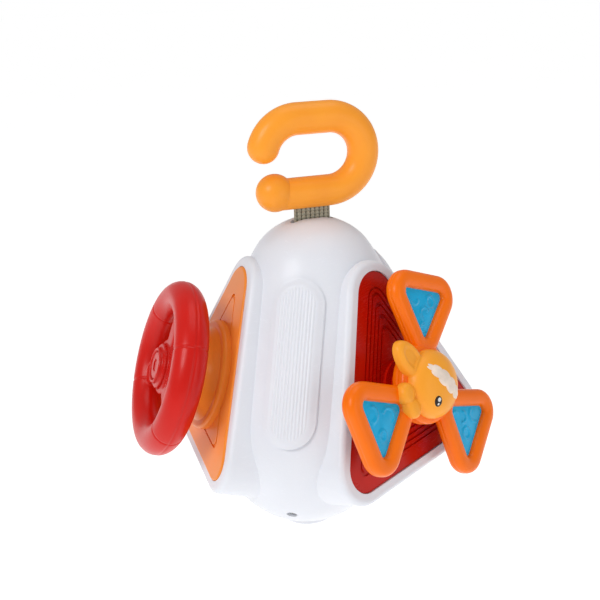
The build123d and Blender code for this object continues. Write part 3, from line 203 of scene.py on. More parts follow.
def metal(name, rgb, rough=0.28):
    """Plated steel: fine turning marks and a few stains."""
    made = Finish(name).put(Metallic=1.0)
    stain = made.noise(3 * MM, detail=5.0)
    lines = made.noise(0.4 * MM, place=made.stretched((1.0, 1.0, 14.0)))
    made.colour(made.blend(made.spread(stain, 0, 1), tint(rgb, 0.82), tint(rgb, 1.04)))
    made.rough(made.spread(lines, rough - 0.08, rough + 0.1))
    made.bumps((lines, 0.02 * MM))
    return made.material


def knit(name, painted_gap_shade, light):
    """Melange yarn with a fuzzy sheen and painted shade down between the stitches: the mesh's own "stitch"
    attribute is 1 on top of a stitch and 0 in a gap, where the first colour is laid in as painted shade."""
    made = Finish(name).put(IOR=1.4, Sheen_Weight=0.5, Sheen_Roughness=0.5)
    fibre = made.noise(0.35 * MM, detail=5.0, place=made.stretched((1.0, 1.0, 0.35)), warp=0.8)
    fleck = made.noise(1.3 * MM, detail=2.0)
    both = made.join("ADD", made.join("MULTIPLY", fibre, 0.6), made.join("MULTIPLY", fleck, 0.4))
    yarn = made.blend(made.spread(both, 0, 1, 0.34, 0.66), tint(light, 0.62), linear(light))
    top = made.tree.nodes.new("ShaderNodeAttribute")
    top.attribute_name = "stitch"
    # painted shade: the gaps between stitches take the dark colour, the stitch tops take the yarn
    made.colour(made.blend(made.spread(top.outputs["Fac"], 0, 1, 0.15, 0.75), linear(painted_gap_shade), yarn))
    made.rough(made.spread(fibre, 0.75, 0.95))
    made.bumps((fibre, 0.12 * MM))
    return made.material


def pane(name, rgb):
    """Tinted see-through plastic: milky, with moulding ripples."""
    made = Finish(name).put(IOR=1.5, Specular_IOR_Level=0.3, Transmission_Weight=0.06)
    made.put(Coat_Weight=0.1, Coat_Roughness=0.08)
    flow = made.noise(14 * MM, warp=0.9)
    made.colour(made.blend(made.spread(flow, 0, 1), tint(rgb, 0.9), tint(rgb, 1.1)))
    made.rough(made.spread(flow, 0.14, 0.24))
    made.bumps((made.noise(6 * MM), 0.06 * MM), (made.noise(0.9 * MM, detail=1.0), 0.012 * MM))
    return made.material


def etched(name, rgb):
    """Circuit board lacquer over copper tracks."""
    made = Finish(name).put(IOR=1.5, Coat_Weight=0.4, Coat_Roughness=0.2)
    tracks = made.noise(4 * MM, detail=0.0, place=made.stretched((1.0, 4.0, 1.0)))
    made.colour(made.blend(made.spread(tracks, 0, 1, 0.48, 0.52), tint(rgb, 0.8), tint(rgb, 1.4)))
    made.rough(made.spread(made.noise(2 * MM), 0.3, 0.45))
    made.bumps((made.spread(tracks, 0, 1, 0.48, 0.52), 0.03 * MM))
    return made.material


FINISHES = {
    "clip": plastic("Clip_orange", (255, 160, 48), rough=0.34, coat=0.25, soft=0.06),
    "shell": plastic("Shell_white", (229, 231, 238), rough=0.32, coat=0.25, soft=0.04, vary=0.015),
    "steel": metal("Plated_steel", (196, 196, 194)),
    "wheel_red": plastic("Wheel_red", (205, 22, 12), rough=0.3, coat=0.3, soft=0.03),
    "panel_red": plastic("Panel_red", (192, 18, 0), rough=0.26, coat=0.4),
    "panel_orange": plastic("Panel_orange", (244, 142, 48), rough=0.33, coat=0.25),
    "mill_orange": plastic("Windmill_orange", (255, 116, 0), rough=0.3, coat=0.3, soft=0.05),
    "pane_blue": pane("Pane_blue", (0, 180, 234)),
    "head_orange": plastic("Head_orange", (255, 166, 48), rough=0.36, coat=0.2, soft=0.06),
    "fleece_print": rubber("Fleece_cream", (238, 220, 205)),
    "eye_print": plastic("Eye_black", (28, 20, 18), rough=0.2, coat=0.5),
    "axle_white": plastic("Axle_white", (228, 227, 222), rough=0.36, coat=0.1, vary=0.02),
    "panel_blue": plastic("Panel_blue", (24, 118, 200), rough=0.28, coat=0.35),
    "key_red": plastic("Key_red", (208, 36, 28), rough=0.27, coat=0.4),
    "key_yellow": plastic("Key_yellow", (248, 196, 40), rough=0.27, coat=0.4),
    "key_green": plastic("Key_green", (110, 176, 58), rough=0.27, coat=0.4),
    "silicone": rubber("Silicone_grey", (206, 206, 202)),
    "board": etched("Board_green", (24, 92, 52)),
    "lamp": pane("Lamp_red", (224, 42, 36)),
    "slider": plastic("Slider_dark", (58, 60, 66), rough=0.42, coat=0.1),
    "tray": plastic("Tray_grey", (206, 208, 212), rough=0.4, coat=0.1, vary=0.02),
    "cell": plastic("Cell_wrap", (60, 62, 70), rough=0.25, coat=0.5),
    "contact": metal("Nickel_contact", (206, 202, 190), rough=0.22),
    "panel_lime": plastic("Panel_lime", (166, 200, 62), rough=0.3, coat=0.3),
    "knob_lime": plastic("Knob_lime", (196, 200, 88), rough=0.3, coat=0.35, soft=0.05),
    "speaker_can": metal("Speaker_can", (150, 150, 152), rough=0.36),
}
WEARS = {
    "clip": ("clip_front", "clip_rear"),
    "shell": ("shell_upper", "shell_lower"),
    "steel": (
        "clip_screws", "clip_pin", "shell_screws", "strap_anchor", "wheel_axle_screw", "horn_spring",
        "mill_axle_screw", "board_screws", "door_screw", "lever_pin",
    ),
    "wheel_red": ("wheel_front", "wheel_rear", "horn_button"),
    "panel_red": ("mill_panel", "mill_bush"),
    "panel_orange": ("wheel_panel", "wheel_collar"),
    "mill_orange": ("mill_front", "mill_rear"),
    "pane_blue": ("mill_window_1", "mill_window_2", "mill_window_3"),
    "head_orange": ("animal_head",),
    "fleece_print": ("head_fleece",),
    "eye_print": ("head_eye",),
    "axle_white": ("wheel_axle", "wheel_retainer", "mill_axle", "mill_retainer"),
    "panel_blue": ("music_panel",),
    "key_red": ("music_key_1",),
    "key_yellow": ("music_key_2",),
    "key_green": ("music_key_3",),
    "silicone": ("key_domes",),
    "board": ("circuit_board",),
    "lamp": ("status_light",),
    "slider": ("power_slider",),
    "tray": ("battery_tray", "battery_door"),
    "cell": ("battery_cell_1", "battery_cell_2"),
    "contact": ("battery_contacts",),
    "panel_lime": ("base_panel",),
    "knob_lime": ("lever_knob", "gear_lever", "lever_boot"),
    "speaker_can": ("speaker",),
}
for finish, names in WEARS.items():
    for name in names:
        worn_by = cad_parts[name]
        for material_slot in worn_by.material_slots:
            material_slot.material = FINISHES[finish]


# ---------------------------------------------------------------- mesh helpers
def piece(name, points, faces, material, body):
    """A mesh object in the shared frame that wears the given material and rides on a body if one is given.
    """
    mesh = bpy.data.meshes.new(name)
    mesh.from_pydata([tuple(p) for p in points], [], faces)
    mesh.update()
    tidy = bmesh.new()
    tidy.from_mesh(mesh)
    bmesh.ops.recalc_face_normals(tidy, faces=tidy.faces)
    tidy.to_mesh(mesh)
    tidy.free()
    for face in mesh.polygons:
        face.use_smooth = True
    made = bpy.data.objects.new(name, mesh)
    bpy.context.scene.collection.objects.link(made)
    mesh.materials.append(material)
    if body:
        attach(made, body)
    return made


def loft(rings, closed=False):
    """Points and faces that join rings of equally many points; closed joins the last to the first,
    otherwise each end is capped."""
    count = len(rings[0])
    points = [p for ring in rings for p in ring]
    faces = []
    for i in range(len(rings) if closed else len(rings) - 1):
        a, b = i * count, (i + 1) % len(rings) * count
        faces += [(a + j, a + (j + 1) % count, b + (j + 1) % count, b + j) for j in range(count)]
    if not closed:
        faces.append(tuple(range(count))[::-1])
        faces.append(tuple(range((len(rings) - 1) * count, len(rings) * count)))
    return points, faces


# ---------------------------------------------------------------- knitted strap
STRAP_W = 24 * MM
STRAP_T = 3.6 * MM
STRAP_TOP = -40.5 * MM
STRAP_LOW = -60.5 * MM
STITCH_W = 3.0 * MM
STITCH_H = 2.4 * MM
STITCH_PUFF = 0.9 * MM
STRAP_ROWS = 150
STRAP_COLUMNS = 140
# the first colour is painted shade for the gaps between stitches, the second is the yarn
KNIT = knit("Strap_knit", (52, 50, 38), (190, 186, 164))


def strap():
    """Rib-knitted band: rounded edges, columns of stitches that lean in pairs."""
    across = Vector((cos(radians(CLIP_YAW)), sin(radians(CLIP_YAW)), 0))
    through = Vector((sin(radians(CLIP_YAW)), -cos(radians(CLIP_YAW)), 0))
    rings, heights = [], []
    for i in range(STRAP_ROWS + 1):
        z = STRAP_TOP + (STRAP_LOW - STRAP_TOP) * i / STRAP_ROWS
        ring = []
        for side in (1, -1):
            for j in range(STRAP_COLUMNS + 1):
                share = side * (2 * j / STRAP_COLUMNS - 1)
                x = STRAP_W / 2 * share
                column = abs(cos(pi * x / STITCH_W))
                lean = z + 0.5 * STITCH_H * abs((x / STITCH_W + 0.5) % 1 - 0.5) * 2
                row = abs(sin(pi * lean / STITCH_H))
                height = sqrt(column) * (0.4 + 0.6 * sqrt(row))
                thick = STRAP_T / 2 * sqrt(1 - 0.96 * abs(share) ** 6)
                heights.append(height)
                y = side * (thick - STITCH_PUFF * (1 - height) * (1 - abs(share) ** 6))
                ring.append(across * x + through * y + Vector((0, 0, z)))
        rings.append(ring)
    points, faces = loft(rings)
    made = piece("strap_knit", points, faces, KNIT, None)
    # stitch heights, which the knit material turns into painted shade in the gaps
    made.data.attributes.new("stitch", "FLOAT", "POINT").data.foreach_set("value", heights)
    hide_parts("strap")
    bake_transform(made)


strap()

# ---------------------------------------------------------------- shared shapes
VOXEL = 0.55 * MM


def superellipse(half_width, half_height, power, steps):
    """Points (across, up) round an ellipse, squarer as power falls below 1."""
    points = []
    for step in range(steps):
        turn = 2 * pi * step / steps
        across = copysign(half_width * abs(cos(turn)) ** power, cos(turn))
        points.append((across, copysign(half_height * abs(sin(turn)) ** power, sin(turn))))
    return points


def circle(radius, height, steps):
    """Points of a level circle round Z."""
    turns = [2 * pi * step / steps for step in range(steps)]
    return [Vector((radius * cos(turn), radius * sin(turn), height)) for turn in turns]


def arc(centre, radius, start, end, steps):
    """Points of an arc from start to end, in degrees."""
    turns = [radians(start + (end - start) * i / steps) for i in range(steps + 1)]
    return [Vector((centre[0] + radius * cos(t), centre[1] + radius * sin(t), 0)) for t in turns]


def resampled(outline, count):
    """The closed outline again, as count points evenly spaced along it."""
    closed = outline + outline[:1]
    lengths = [0.0]
    for a, b in zip(closed, closed[1:]):
        lengths.append(lengths[-1] + (b - a).length)
    points, k = [], 0
    for i in range(count):
        want = lengths[-1] * i / count
        while lengths[k + 1] < want:
            k += 1
        share = (want - lengths[k]) / (lengths[k + 1] - lengths[k])
        points.append(closed[k].lerp(closed[k + 1], share))
    return points


def ring_section(path, half_width, half_height, power=0.8, steps=28):
    """A closed path in the XY plane swept by a rounded section."""
    section = superellipse(half_width, half_height, power, steps)
    rings = []
    for i, point in enumerate(path):
        ahead = (path[(i + 1) % len(path)] - path[i - 1]).normalized()
        side = Vector((ahead.y, -ahead.x, 0))
        rings.append([point + side * across + Vector((0, 0, up)) for across, up in section])
    return loft(rings, closed=True)


def turned(profile, steps=96):
    """A solid of revolution round Z from (radius, height) points, the first and last on the axis."""
    return loft([circle(radius, height, steps) for radius, height in profile])


def fused(name, parts, place, body, slot, voxel=VOXEL, smooths=4, groove=None):
    """Overlapping closed meshes melted into one skin by a voxel remesh and relaxed, then placed.
    groove(point) may move a point of the finished skin."""
    points, faces = [], []
    for part_points, part_faces in parts:
        faces += [tuple(len(points) + k for k in f) for f in part_faces]
        points += part_points
    made = piece(name, points, faces, FINISHES[slot], None)
    remesh = made.modifiers.new("Melt", "REMESH")
    remesh.mode = "VOXEL"
    remesh.voxel_size = voxel
    relax = made.modifiers.new("Relax", "SMOOTH")
    relax.factor = 0.5
    relax.iterations = smooths
    bpy.context.view_layer.update()
    skin = bpy.data.meshes.new_from_object(made.evaluated_get(bpy.context.evaluated_depsgraph_get()))
    made.modifiers.clear()
    made.data = skin
    if groove:
        for vertex in skin.vertices:
            vertex.co = groove(vertex.co.copy())
    skin.transform(place)
    for face in skin.polygons:
        face.use_smooth = True
    skin.name = name
    if not skin.materials:
        skin.materials.append(FINISHES[slot])
    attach(made, body)
    return made


def spun(points, turn):
    return [Matrix.Rotation(radians(turn), 3, "Z") @ p for p in points]


# ---------------------------------------------------------------- grip pads
# millimetres, heights from the body's middle
FACE_DIST = 73.2
DOME_Z = 83.0
CORNER_RAD = 42.7
CORNER_Z = -5.5
PAD_W = 33.0
PAD_TOP_Z = 101.0
PAD_LOW_Z = 13.0
PAD_PROUD = 1.2
PAD_INSET = 0.25
PAD_LIFT = 0.95
PAD_SLOPE = 4.6
PAD_SINK = 0.5
RIB_PITCH = 2.0
RIB_LIFT = 0.5
RIB_MARGIN = 0.3
RIB_FADE = 0.8
DOME_R = FACE_DIST - DOME_Z * sin(radians(FACE_TILT))
CORNER_R = FACE_DIST - CORNER_RAD / 2 * cos(radians(FACE_TILT)) - CORNER_Z * sin(radians(FACE_TILT))


def flank(foot):
    """Outward direction (across, up) of the straight flank between the dome and the bottom sphere."""
    rise = CORNER_Z - DOME_Z
    length = hypot(foot, rise)
    taper = (DOME_R - CORNER_R) / length
    across = sqrt(1 - taper**2)
    return (foot * taper - rise * across) / length, (rise * taper + foot * across) / length


def reach(z, foot):
    """How far the pads' surface stands from the axis at height z on the flank."""
    out_x, out_z = flank(foot)
    dome, corner = DOME_R + PAD_PROUD, CORNER_R + PAD_PROUD
    top_z, low_z = DOME_Z + dome * out_z, CORNER_Z + corner * out_z
    top_x, low_x = dome * out_x, foot + corner * out_x
    return top_x + (low_x - top_x) * (top_z - z) / (top_z - low_z)


def on_pad(azimuth, x, along, height):
    """Point over the pad's surface: x across the edge, along it from the pad's middle."""
    out_x, out_z = flank(CORNER_RAD)
    z = (PAD_TOP_Z + PAD_LOW_Z) / 2 + along * out_x
    for _ in range(3):
        edge, face = reach(z, CORNER_RAD), reach(z, CORNER_RAD / 2)
        round_r = 2 * face - edge
        turn = asin(x / round_r)
        z = (PAD_TOP_Z + PAD_LOW_Z) / 2 + along * out_x - round_r * (1 - cos(turn)) * out_x * out_z
    far = 2 * (edge - face) + round_r * cos(turn) + height * cos(turn) * out_x
    side = x + height * sin(turn) * out_x
    a = radians(azimuth)
    return Vector((
        sin(a) * far + cos(a) * side, -cos(a) * far + sin(a) * side, z + height * out_z - BODY_DROP / MM,
    )) * MM


def grip_pad(azimuth):
    """Raised pad down one edge: a sloped rim, then fine ribs that fill the rounded plateau."""
    half_w = PAD_W / 2 - PAD_INSET
    half_l = (PAD_TOP_Z - PAD_LOW_Z) / flank(CORNER_RAD)[0] / 2 - PAD_INSET
    rows, columns = 150, 120
    rings = []
    for i in range(rows + 1):
        bend = pi / 2 * (2 * i / rows - 1)
        straight = half_l - half_w
        share = 2 * i / rows - 1
        along = share * straight + half_w * sin(bend)
        beyond = max(0.0, abs(along) - straight)
        width = max(0.15, sqrt(max(0.0, half_w**2 - beyond**2)))
        top, under = [], []
        for j in range(columns + 1):
            x = width * (2 * j / columns - 1)
            from_rim = half_w - hypot(x, beyond)
            rise = min(1.0, max(0.0, from_rim / PAD_SLOPE))
            lift = PAD_LIFT * rise**2 * (3 - 2 * rise)
            inner = min(1.0, max(0.0, (from_rim - PAD_SLOPE - RIB_MARGIN) / RIB_FADE))
            rib = RIB_LIFT * inner * (abs(cos(pi * x / RIB_PITCH)) ** 0.6 - 0.4)
            top.append(on_pad(azimuth, x, along, 0.03 + lift + rib))
            under.append(on_pad(azimuth, x, along, -PAD_SINK))
        rings.append(top + under[::-1])
    points, faces = loft(rings)
    return piece(f"grip_pad_{GRIP_AZ.index(azimuth) + 1}", points, faces, FINISHES["shell"], "toy")


GRIP_AZ = (0, 120, 240)
for azimuth in GRIP_AZ:
    grip_pad(azimuth)

# ---------------------------------------------------------------- steering wheel
WHEEL_DIST = 107.8 * MM
WHEEL_R = 45.8 * MM
RIM_R = 10.6 * MM
SPOKE_W = 15.0 * MM
SPOKE_T = 8.0 * MM
SPOKE_SQUARE = 0.45
SPOKE_STEPS = 40
SPOKE_ROOT = 10.0 * MM
SPOKE_REACH = WHEEL_R - RIM_R / 2
GRIP_HALF = 35.0
GRIP_ENDS = (GRIP_HALF, -GRIP_HALF, 180 - GRIP_HALF, 180 + GRIP_HALF)
GROOVE_HALF = 0.55 * MM
GROOVE_DEPTH = 0.45 * MM
# radius and height in millimetres: the horn's well, three steps down to the hub's side, the back
HUB_PROFILE = (
    (0.4, 1.5), (9.35, 1.5), (9.35, 9.0), (9.9, 9.6), (10.9, 9.6), (11.5, 9.0),
    (11.5, 7.3), (12.0, 7.0), (13.9, 7.0), (14.5, 6.4),
    (14.5, 4.5), (15.0, 4.0), (17.0, 4.0), (18.0, 3.0),
    (18.0, -5.0), (0.4, -5.0),
)
WHEEL = face_frame(WHEEL_AZ, WHEEL_DIST)


def wheel_spoke(turn):
    """One spoke as a rounded bar from the hub into the rim."""
    section = superellipse(SPOKE_W / 2, SPOKE_T / 2, SPOKE_SQUARE, SPOKE_STEPS)
    ends = [[Vector((across, along, up)) for across, up in section] for along in (SPOKE_ROOT, SPOKE_REACH)]
    points, faces = loft(ends)
    return spun(points, turn), faces


def steering_wheel():
    """Rim, three spokes and stepped hub melted together, with the seam and the grips' parting lines."""
    parts = [ring_section(circle(WHEEL_R, 0, 160), RIM_R, RIM_R, power=1.0, steps=40)]
    parts += [wheel_spoke(turn) for turn in (0, 120, -120)]
    parts.append(turned([(r * MM, z * MM) for r, z in HUB_PROFILE]))

    def groove(point):
        radius = hypot(point.x, point.y)
        if radius < WHEEL_R - RIM_R - 0.5 * MM:
            return point
        gap = Vector((point.x * (1 - WHEEL_R / radius), point.y * (1 - WHEEL_R / radius), point.z))
        if gap.length < 0.8 * RIM_R:
            return point
        seam = abs(point.z) if radius > WHEEL_R else 1.0
        turn = degrees(atan2(point.y, point.x))
        grips = [abs((turn - stop + 180) % 360 - 180) for stop in GRIP_ENDS]
        near = min(seam, radians(min(grips)) * radius)
        if near > 2 * GROOVE_HALF:
            return point
        return point - gap.normalized() * GROOVE_DEPTH * cos(pi / 2 * near / (2 * GROOVE_HALF)) ** 2

    made = fused(
        "wheel_moulding", parts, WHEEL, "wheel", "wheel_red", voxel=0.6 * MM, smooths=3, groove=groove
    )
    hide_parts("wheel_front", "wheel_rear")


steering_wheel()


def horn_spring():
    """The spring under the horn button, given a mesh of its own."""
    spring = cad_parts["horn_spring"]
    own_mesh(spring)


horn_spring()

# ---------------------------------------------------------------- windmill
MILL_DIST = 94.0 * MM
MILL_PHASE = 22.2
WINDOW_IN = 26.4 * MM
WINDOW_OUT = 58.6 * MM
WINDOW_HALF = 20.5 * MM
WINDOW_CORNER_R = 3.0 * MM
BLADE_RIM = 11.2 * MM
BLADE_T = 11.0 * MM
MILL_HUB_R = 24.4 * MM
HUB_ROUND = 3.0 * MM
AXIS_GAP = 0.4 * MM
MILL_SEAM = 0.8 * MM
MILL_SEAM_DEPTH = 0.35 * MM
PANE_T = 2.6 * MM
PANE_LAP = 1.6 * MM
PANE_CROWN = 0.5 * MM
SWIRL_LIFT = 0.55 * MM
SWIRL_HALF = 1.1
MILL = face_frame(MILL_AZ, MILL_DIST) @ Matrix.Rotation(radians(-MILL_PHASE), 4, "Z")


def window(grow, steps=14):
    """Closed outline of a blade's window, apex towards the hub, grown on every side."""
    side = atan2(WINDOW_HALF, WINDOW_OUT - WINDOW_IN)
    step = WINDOW_CORNER_R / tan(pi / 4 - side / 2)
    lean = degrees(side)
    high = WINDOW_OUT - WINDOW_CORNER_R
    radius = WINDOW_CORNER_R + grow
    outline = arc((0, WINDOW_IN + WINDOW_CORNER_R / sin(side)), radius, 180 + lean, 360 - lean, steps)
    outline += arc((WINDOW_HALF - step, high), radius, -lean, 90, steps)
    outline += arc((step - WINDOW_HALF, high), radius, 90, 180 + lean, steps)
    return outline


def mill_frame():
    """Three fully rounded window frames melted into the hub, with a parting line round the sides."""
    path = resampled(window(BLADE_RIM / 2), 120)
    points, faces = ring_section(path, BLADE_RIM / 2, BLADE_T / 2)
    parts = [(spun(points, turn), faces) for turn in (0, 120, -120)]
    top, inner = BLADE_T / 2, MILL_HUB_R - HUB_ROUND
    bends = [pi / 2 * step / 4 for step in range(5)]
    rim = [(inner + HUB_ROUND * sin(t), top - HUB_ROUND * (1 - cos(t))) for t in bends]
    under = [(radius, -height) for radius, height in reversed(rim)]
    parts.append(turned([(AXIS_GAP, top), *rim, *under, (AXIS_GAP, -top)]))

    def groove(point):
        if abs(point.z) > MILL_SEAM:
            return point
        return point - parting(point) * MILL_SEAM_DEPTH * cos(pi / 2 * point.z / MILL_SEAM) ** 2

    def parting(point):
        """Outward direction from the nearest frame's centre line or the hub's axis."""
        best = None
        for turn in (0, 120, -120):
            local = Matrix.Rotation(radians(-turn), 3, "Z") @ point
            near = min(path, key=lambda p: (p.x - local.x) ** 2 + (p.y - local.y) ** 2)
            gap = Vector((local.x - near.x, local.y - near.y, 0))
            if best is None or gap.length < best[0]:
                best = (gap.length, Matrix.Rotation(radians(turn), 3, "Z") @ gap)
        flat = Vector((point.x, point.y, 0))
        if flat.length < MILL_HUB_R + 0.3 * MM:
            return flat.normalized() if flat.length > MILL_HUB_R - 2 * MM else Vector((0, 0, 0))
        return best[1].normalized() if best[0] > BLADE_RIM / 4 else Vector((0, 0, 0))

    made = fused("mill_frame", parts, MILL, "mill", "mill_orange", groove=groove)
    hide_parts("mill_front", "mill_rear")


def mill_pane(index, swirls):
    """One see-through pane, crowned, with raised rings and hooks.

    swirls are rings as (x, y, radius, start, end) in millimetres and degrees, in the blade's own
    frame with the window's apex at the bottom.
    """
    outline = resampled(window(PANE_LAP), 84)
    middle = Vector((0, WINDOW_OUT - (WINDOW_OUT - WINDOW_IN) * 0.42, 0))
    rings = 34

    def relief(p):
        height = 0.0
        for x, y, radius, start, end in swirls:
            gap = Vector((p.x / MM - x, p.y / MM - y))
            turn = (degrees(atan2(gap.y, gap.x)) - start) % 360
            if turn <= end - start:
                height = max(height, 1 - abs(gap.length - radius) / SWIRL_HALF)
        return SWIRL_LIFT * max(0.0, min(1.0, height * 1.6)) ** 0.7

    shells = []
    for side in (1, -1):
        for k in range(rings + 1) if side == 1 else range(rings, -1, -1):
            share = (k + 0.001) / (rings + 0.001)
            ring = []
            for point in outline:
                p = middle.lerp(point, share)
                crown = PANE_CROWN * (1 - share**2)
                lift = PANE_T / 2 + crown + (relief(p) if side == 1 and share < 0.93 else 0)
                ring.append(Vector((p.x, p.y, side * lift)))
            shells.append(ring)
    points, faces = loft(shells)
    place = MILL @ Matrix.Rotation(radians(120 * index), 4, "Z")
    points = [place @ p for p in points]
    made = piece(f"mill_pane_{index + 1}", points, faces, FINISHES["pane_blue"], "mill")
    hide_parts(f"mill_window_{index + 1}")


# head on the hub: millimetres in the face's own frame, from the hub's front
HEAD = face_frame(MILL_AZ, MILL_DIST + BLADE_T / 2)
HEAD_R = 21.2
HEAD_H = 13.0
HEAD_SUNK = 1.0
FACE_RINGS = 28
EAR_AT = Vector((-13.8, 19.6))
EAR_SIZE = Vector((15.0, 8.8))
DISH_OUT = 2.0
EAR_TURN = 118.0
EAR_H = 6.2
EAR_DISH = 1.1
TUFTS = ((-25.2, 3.0, 6.6, 5.8, 70), (-23.4, -6.8, 6.8, 5.6, 100))
TUFT_H = 6.0
FLEECE_AT = Vector((1.0, 0.5))
FLEECE_SIZE = Vector((17.0, 5.0))
FLEECE_TURN = -56.0
FLEECE_PUFF = 1.1
EYE_AT = Vector((-10.0, -8.0))
EYE_SIZE = Vector((2.5, 3.4))
EYE_TURN = 8.0
EYE_PUFF = 0.5
SHINES = (((0.3, 0.9), (1.1, 1.3)), ((-0.5, -1.6), (0.7, 0.7)))
PATCH_SUNK = 0.5


def dome(x, y):
    """Height of the face above the hub's front, in millimetres."""
    share = min(1.0, hypot(x, y) / HEAD_R)
    return HEAD_H * (1 - share**2.3) ** 0.5


def pebble(x, y, half_x, half_y, turn, height, power=0.62, steps=48, rings=14):
    """A soft lobe that stands on the hub's front, sunk a little into it."""
    layers = []
    for i in range(rings + 1):
        t = pi / 2 * i / rings
        spread, rise = cos(t) ** power, height * sin(t) ** power
        ring = []
        for j in range(steps):
            u = 2 * pi * j / steps
            lobe = Vector((half_x * cos(u), half_y * sin(u))) * max(spread, 0.02)
            flat = Vector((x, y)) + Matrix.Rotation(radians(turn), 2) @ lobe
            ring.append(Vector((flat.x, flat.y, rise - HEAD_SUNK)) * MM)
        layers.append(ring)
    base = [Vector((p.x, p.y, -2 * HEAD_SUNK * MM)) for p in layers[0]]
    return loft([base, *layers])


def animal_head():
    """Face, dished ear and two tufts melted into one moulded head."""
    profile = [(HEAD_R * MM, -2 * HEAD_SUNK * MM)]
    for step in range(FACE_RINGS):
        radius = HEAD_R * sin(pi / 2 * (1 - step / FACE_RINGS))
        profile.append((radius * MM, dome(radius, 0) * MM))
    parts = [turned(profile), pebble(*EAR_AT, *EAR_SIZE, EAR_TURN, EAR_H)]
    parts += [pebble(x, y, a, b, turn, TUFT_H) for x, y, a, b, turn in TUFTS]

    def dished(point):
        p = Matrix.Rotation(radians(-EAR_TURN), 2) @ (Vector((point.x, point.y)) / MM - EAR_AT)
        inside = 1 - hypot((p.x - DISH_OUT) / (EAR_SIZE.x * 0.66), p.y / (EAR_SIZE.y * 0.62))
        on_ear = hypot(point.x, point.y) > (HEAD_R + 0.6) * MM and point.z > 2 * MM
        if inside <= 0 or not on_ear:
            return point
        return point - Vector((0, 0, EAR_DISH * MM * min(1.0, inside * 3)))

    made = fused("head_moulding", parts, HEAD, "mill", "head_orange", voxel=0.4 * MM, groove=dished)
    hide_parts("animal_head")


def patch(name, outline, puff, material, base=0.0, rings=22):
    """A raised patch that follows the face: a closed skin over the outline, puffed between its edges."""
    middle = sum(outline, Vector((0, 0))) / len(outline)
    layers = []
    for i in range(rings + 1):
        share = max(0.02, i / rings)
        flat = [middle.lerp(p, share) for p in outline]
        rise = puff * (1 - share**5) ** 0.5
        layers.append([Vector((p.x, p.y, dome(p.x, p.y) + base + rise)) * MM for p in flat])
    for share in (1.0, 0.5, 0.02):
        flat = [middle.lerp(p, share) for p in outline]
        layers.append([Vector((p.x, p.y, dome(p.x, p.y) - PATCH_SUNK)) * MM for p in flat])
    points, faces = loft(layers)
    return piece(name, [HEAD @ p for p in points], faces, material, "mill")


def oval(at, size, turn, count, scallops=0, bite=0.0):
    """An ellipse's outline, with rounded scallops of a given depth if asked."""
    outline = []
    for i in range(count):
        u = 2 * pi * i / count
        curl = bite * (abs(sin(scallops * u / 2)) ** 0.7 - 1) if scallops else 0
        p = Vector(((size.x + curl) * cos(u), (size.y + curl) * sin(u)))
        outline.append(at + Matrix.Rotation(radians(turn), 2) @ p)
    return outline


def head_prints():
    fleece = patch(
        "fleece_curls", oval(FLEECE_AT, FLEECE_SIZE, FLEECE_TURN, 240, scallops=12, bite=1.5),
        FLEECE_PUFF, FINISHES["fleece_print"],
    )
    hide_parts("head_fleece")
    outline = oval(EYE_AT, EYE_SIZE, EYE_TURN, 64)
    eye = patch("eye_bead", outline, EYE_PUFF, FINISHES["eye_print"], rings=10)
    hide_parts("head_eye")
    for number, (shift, size) in enumerate(SHINES):
        spot = oval(EYE_AT + Vector(shift), Vector(size), EYE_TURN, 40)
        name = f"eye_shine_{number + 1}"
        patch(name, spot, 0.12, FINISHES["axle_white"], base=EYE_PUFF, rings=5)


SWIRLS = (
    ((-9, 53, 4.2, 190, 350), (7, 52, 3.4, 0, 360), (1, 44, 3.8, 20, 250), (-1, 35, 2.6, 60, 330)),
    ((-7, 51, 3.0, 0, 360), (8, 53, 4.6, 150, 330), (0, 41, 5.2, 200, 400), (1, 34, 2.2, 0, 200)),
    ((-10, 52, 5.0, 250, 420), (5, 50, 3.6, 0, 360), (-2, 42, 3.4, 10, 210), (2, 35, 3.0, 150, 350)),
)
mill_frame()
for index, swirls in enumerate(SWIRLS):
    mill_pane(index, swirls)
animal_head()
head_prints()

# ---------------------------------------------------------------- camera, light and floor
CAMERA_AT = Vector((109.0, -541.8, 89.61)) * MM
CAMERA_LENS = 53.125
SURROUND_LIGHT = 0.42
FLOOR_Z = -0.75
FLOOR_R = 30.0
SOFTBOXES = {
    "Key": ((-0.7, -1.1, 0.9), 0.7, 10),
    "Fill": ((1.3, -0.8, 0.2), 1.0, 2.5),
    "Top": ((0.1, 0.2, 1.4), 1.2, 5),
}
CAMERA_AZIMUTH, CAMERA_DROP, CAMERA_ROLL = radians(12.36), radians(19.81), radians(-1.89)


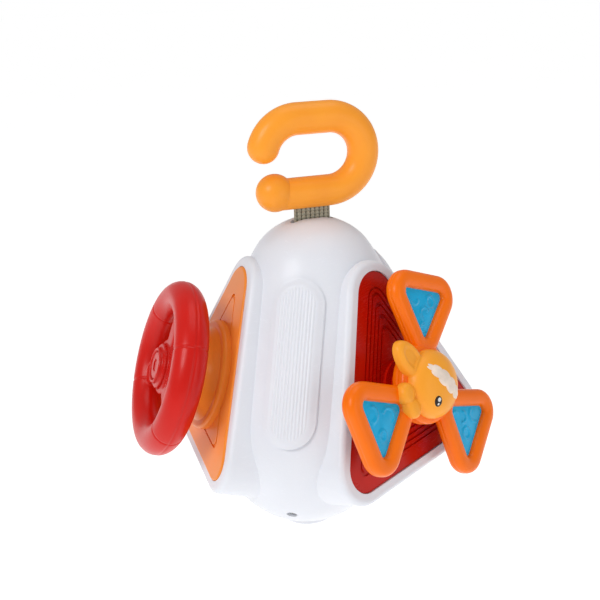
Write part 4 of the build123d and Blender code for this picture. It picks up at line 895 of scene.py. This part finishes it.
def camera():
    back = Vector((
        sin(CAMERA_AZIMUTH) * cos(CAMERA_DROP),
        -cos(CAMERA_AZIMUTH) * cos(CAMERA_DROP),
        sin(CAMERA_DROP),
    ))
    right = Vector((cos(CAMERA_AZIMUTH), sin(CAMERA_AZIMUTH), 0))
    up = back.cross(right)
    level = Matrix((right, up, back)).transposed()
    data = bpy.data.cameras.new("Camera")
    data.lens = CAMERA_LENS
    made = bpy.data.objects.new("Camera", data)
    bpy.context.scene.collection.objects.link(made)
    aimed = level @ Matrix.Rotation(CAMERA_ROLL, 3, "Z")
    made.matrix_world = Matrix.Translation(CAMERA_AT) @ aimed.to_4x4()
    bpy.context.scene.camera = made


def softbox(name, at, size, power, aim=(0, 0, -0.16)):
    data = bpy.data.lights.new(name, "AREA")
    data.shape = "DISK"
    data.size = size
    data.energy = power
    made = bpy.data.objects.new(name, data)
    made.location = at
    made.rotation_euler = (Vector(aim) - Vector(at)).to_track_quat("-Z", "Y").to_euler()
    bpy.context.scene.collection.objects.link(made)


def studio():
    """Pale floor under the hanging toy, an even white surround and three soft lights."""
    floor_mesh = bpy.data.meshes.new("Floor")
    rim = circle(FLOOR_R, FLOOR_Z, 64)
    floor_mesh.from_pydata([tuple(p) for p in rim], [], [tuple(range(64))])
    floor = bpy.data.objects.new("Floor", floor_mesh)
    bpy.context.scene.collection.objects.link(floor)
    paint = Finish("Floor_pale").put(Roughness=0.9, Emission_Color=(1, 1, 1, 1), Emission_Strength=0.62)
    paint.colour(paint.blend(paint.noise(0.4), (0.88, 0.88, 0.88, 1), (0.92, 0.92, 0.92, 1)))
    floor_mesh.materials.append(paint.material)
    world = bpy.data.worlds.new("Surround")
    world.use_nodes = True
    surround = next(n for n in world.node_tree.nodes if n.type == "BACKGROUND")
    surround.inputs["Color"].default_value = (1, 1, 1, 1)
    seen = world.node_tree.nodes.new("ShaderNodeLightPath").outputs["Is Camera Ray"]
    power = world.node_tree.nodes.new("ShaderNodeMapRange")
    power.inputs["To Min"].default_value = SURROUND_LIGHT
    world.node_tree.links.new(seen, power.inputs["Value"])
    world.node_tree.links.new(power.outputs["Result"], surround.inputs["Strength"])
    bpy.context.scene.world = world
    for name, (at, size, power) in SOFTBOXES.items():
        softbox(name, at, size, power)


camera()
studio()
bpy.context.scene.view_settings.view_transform = "Standard"
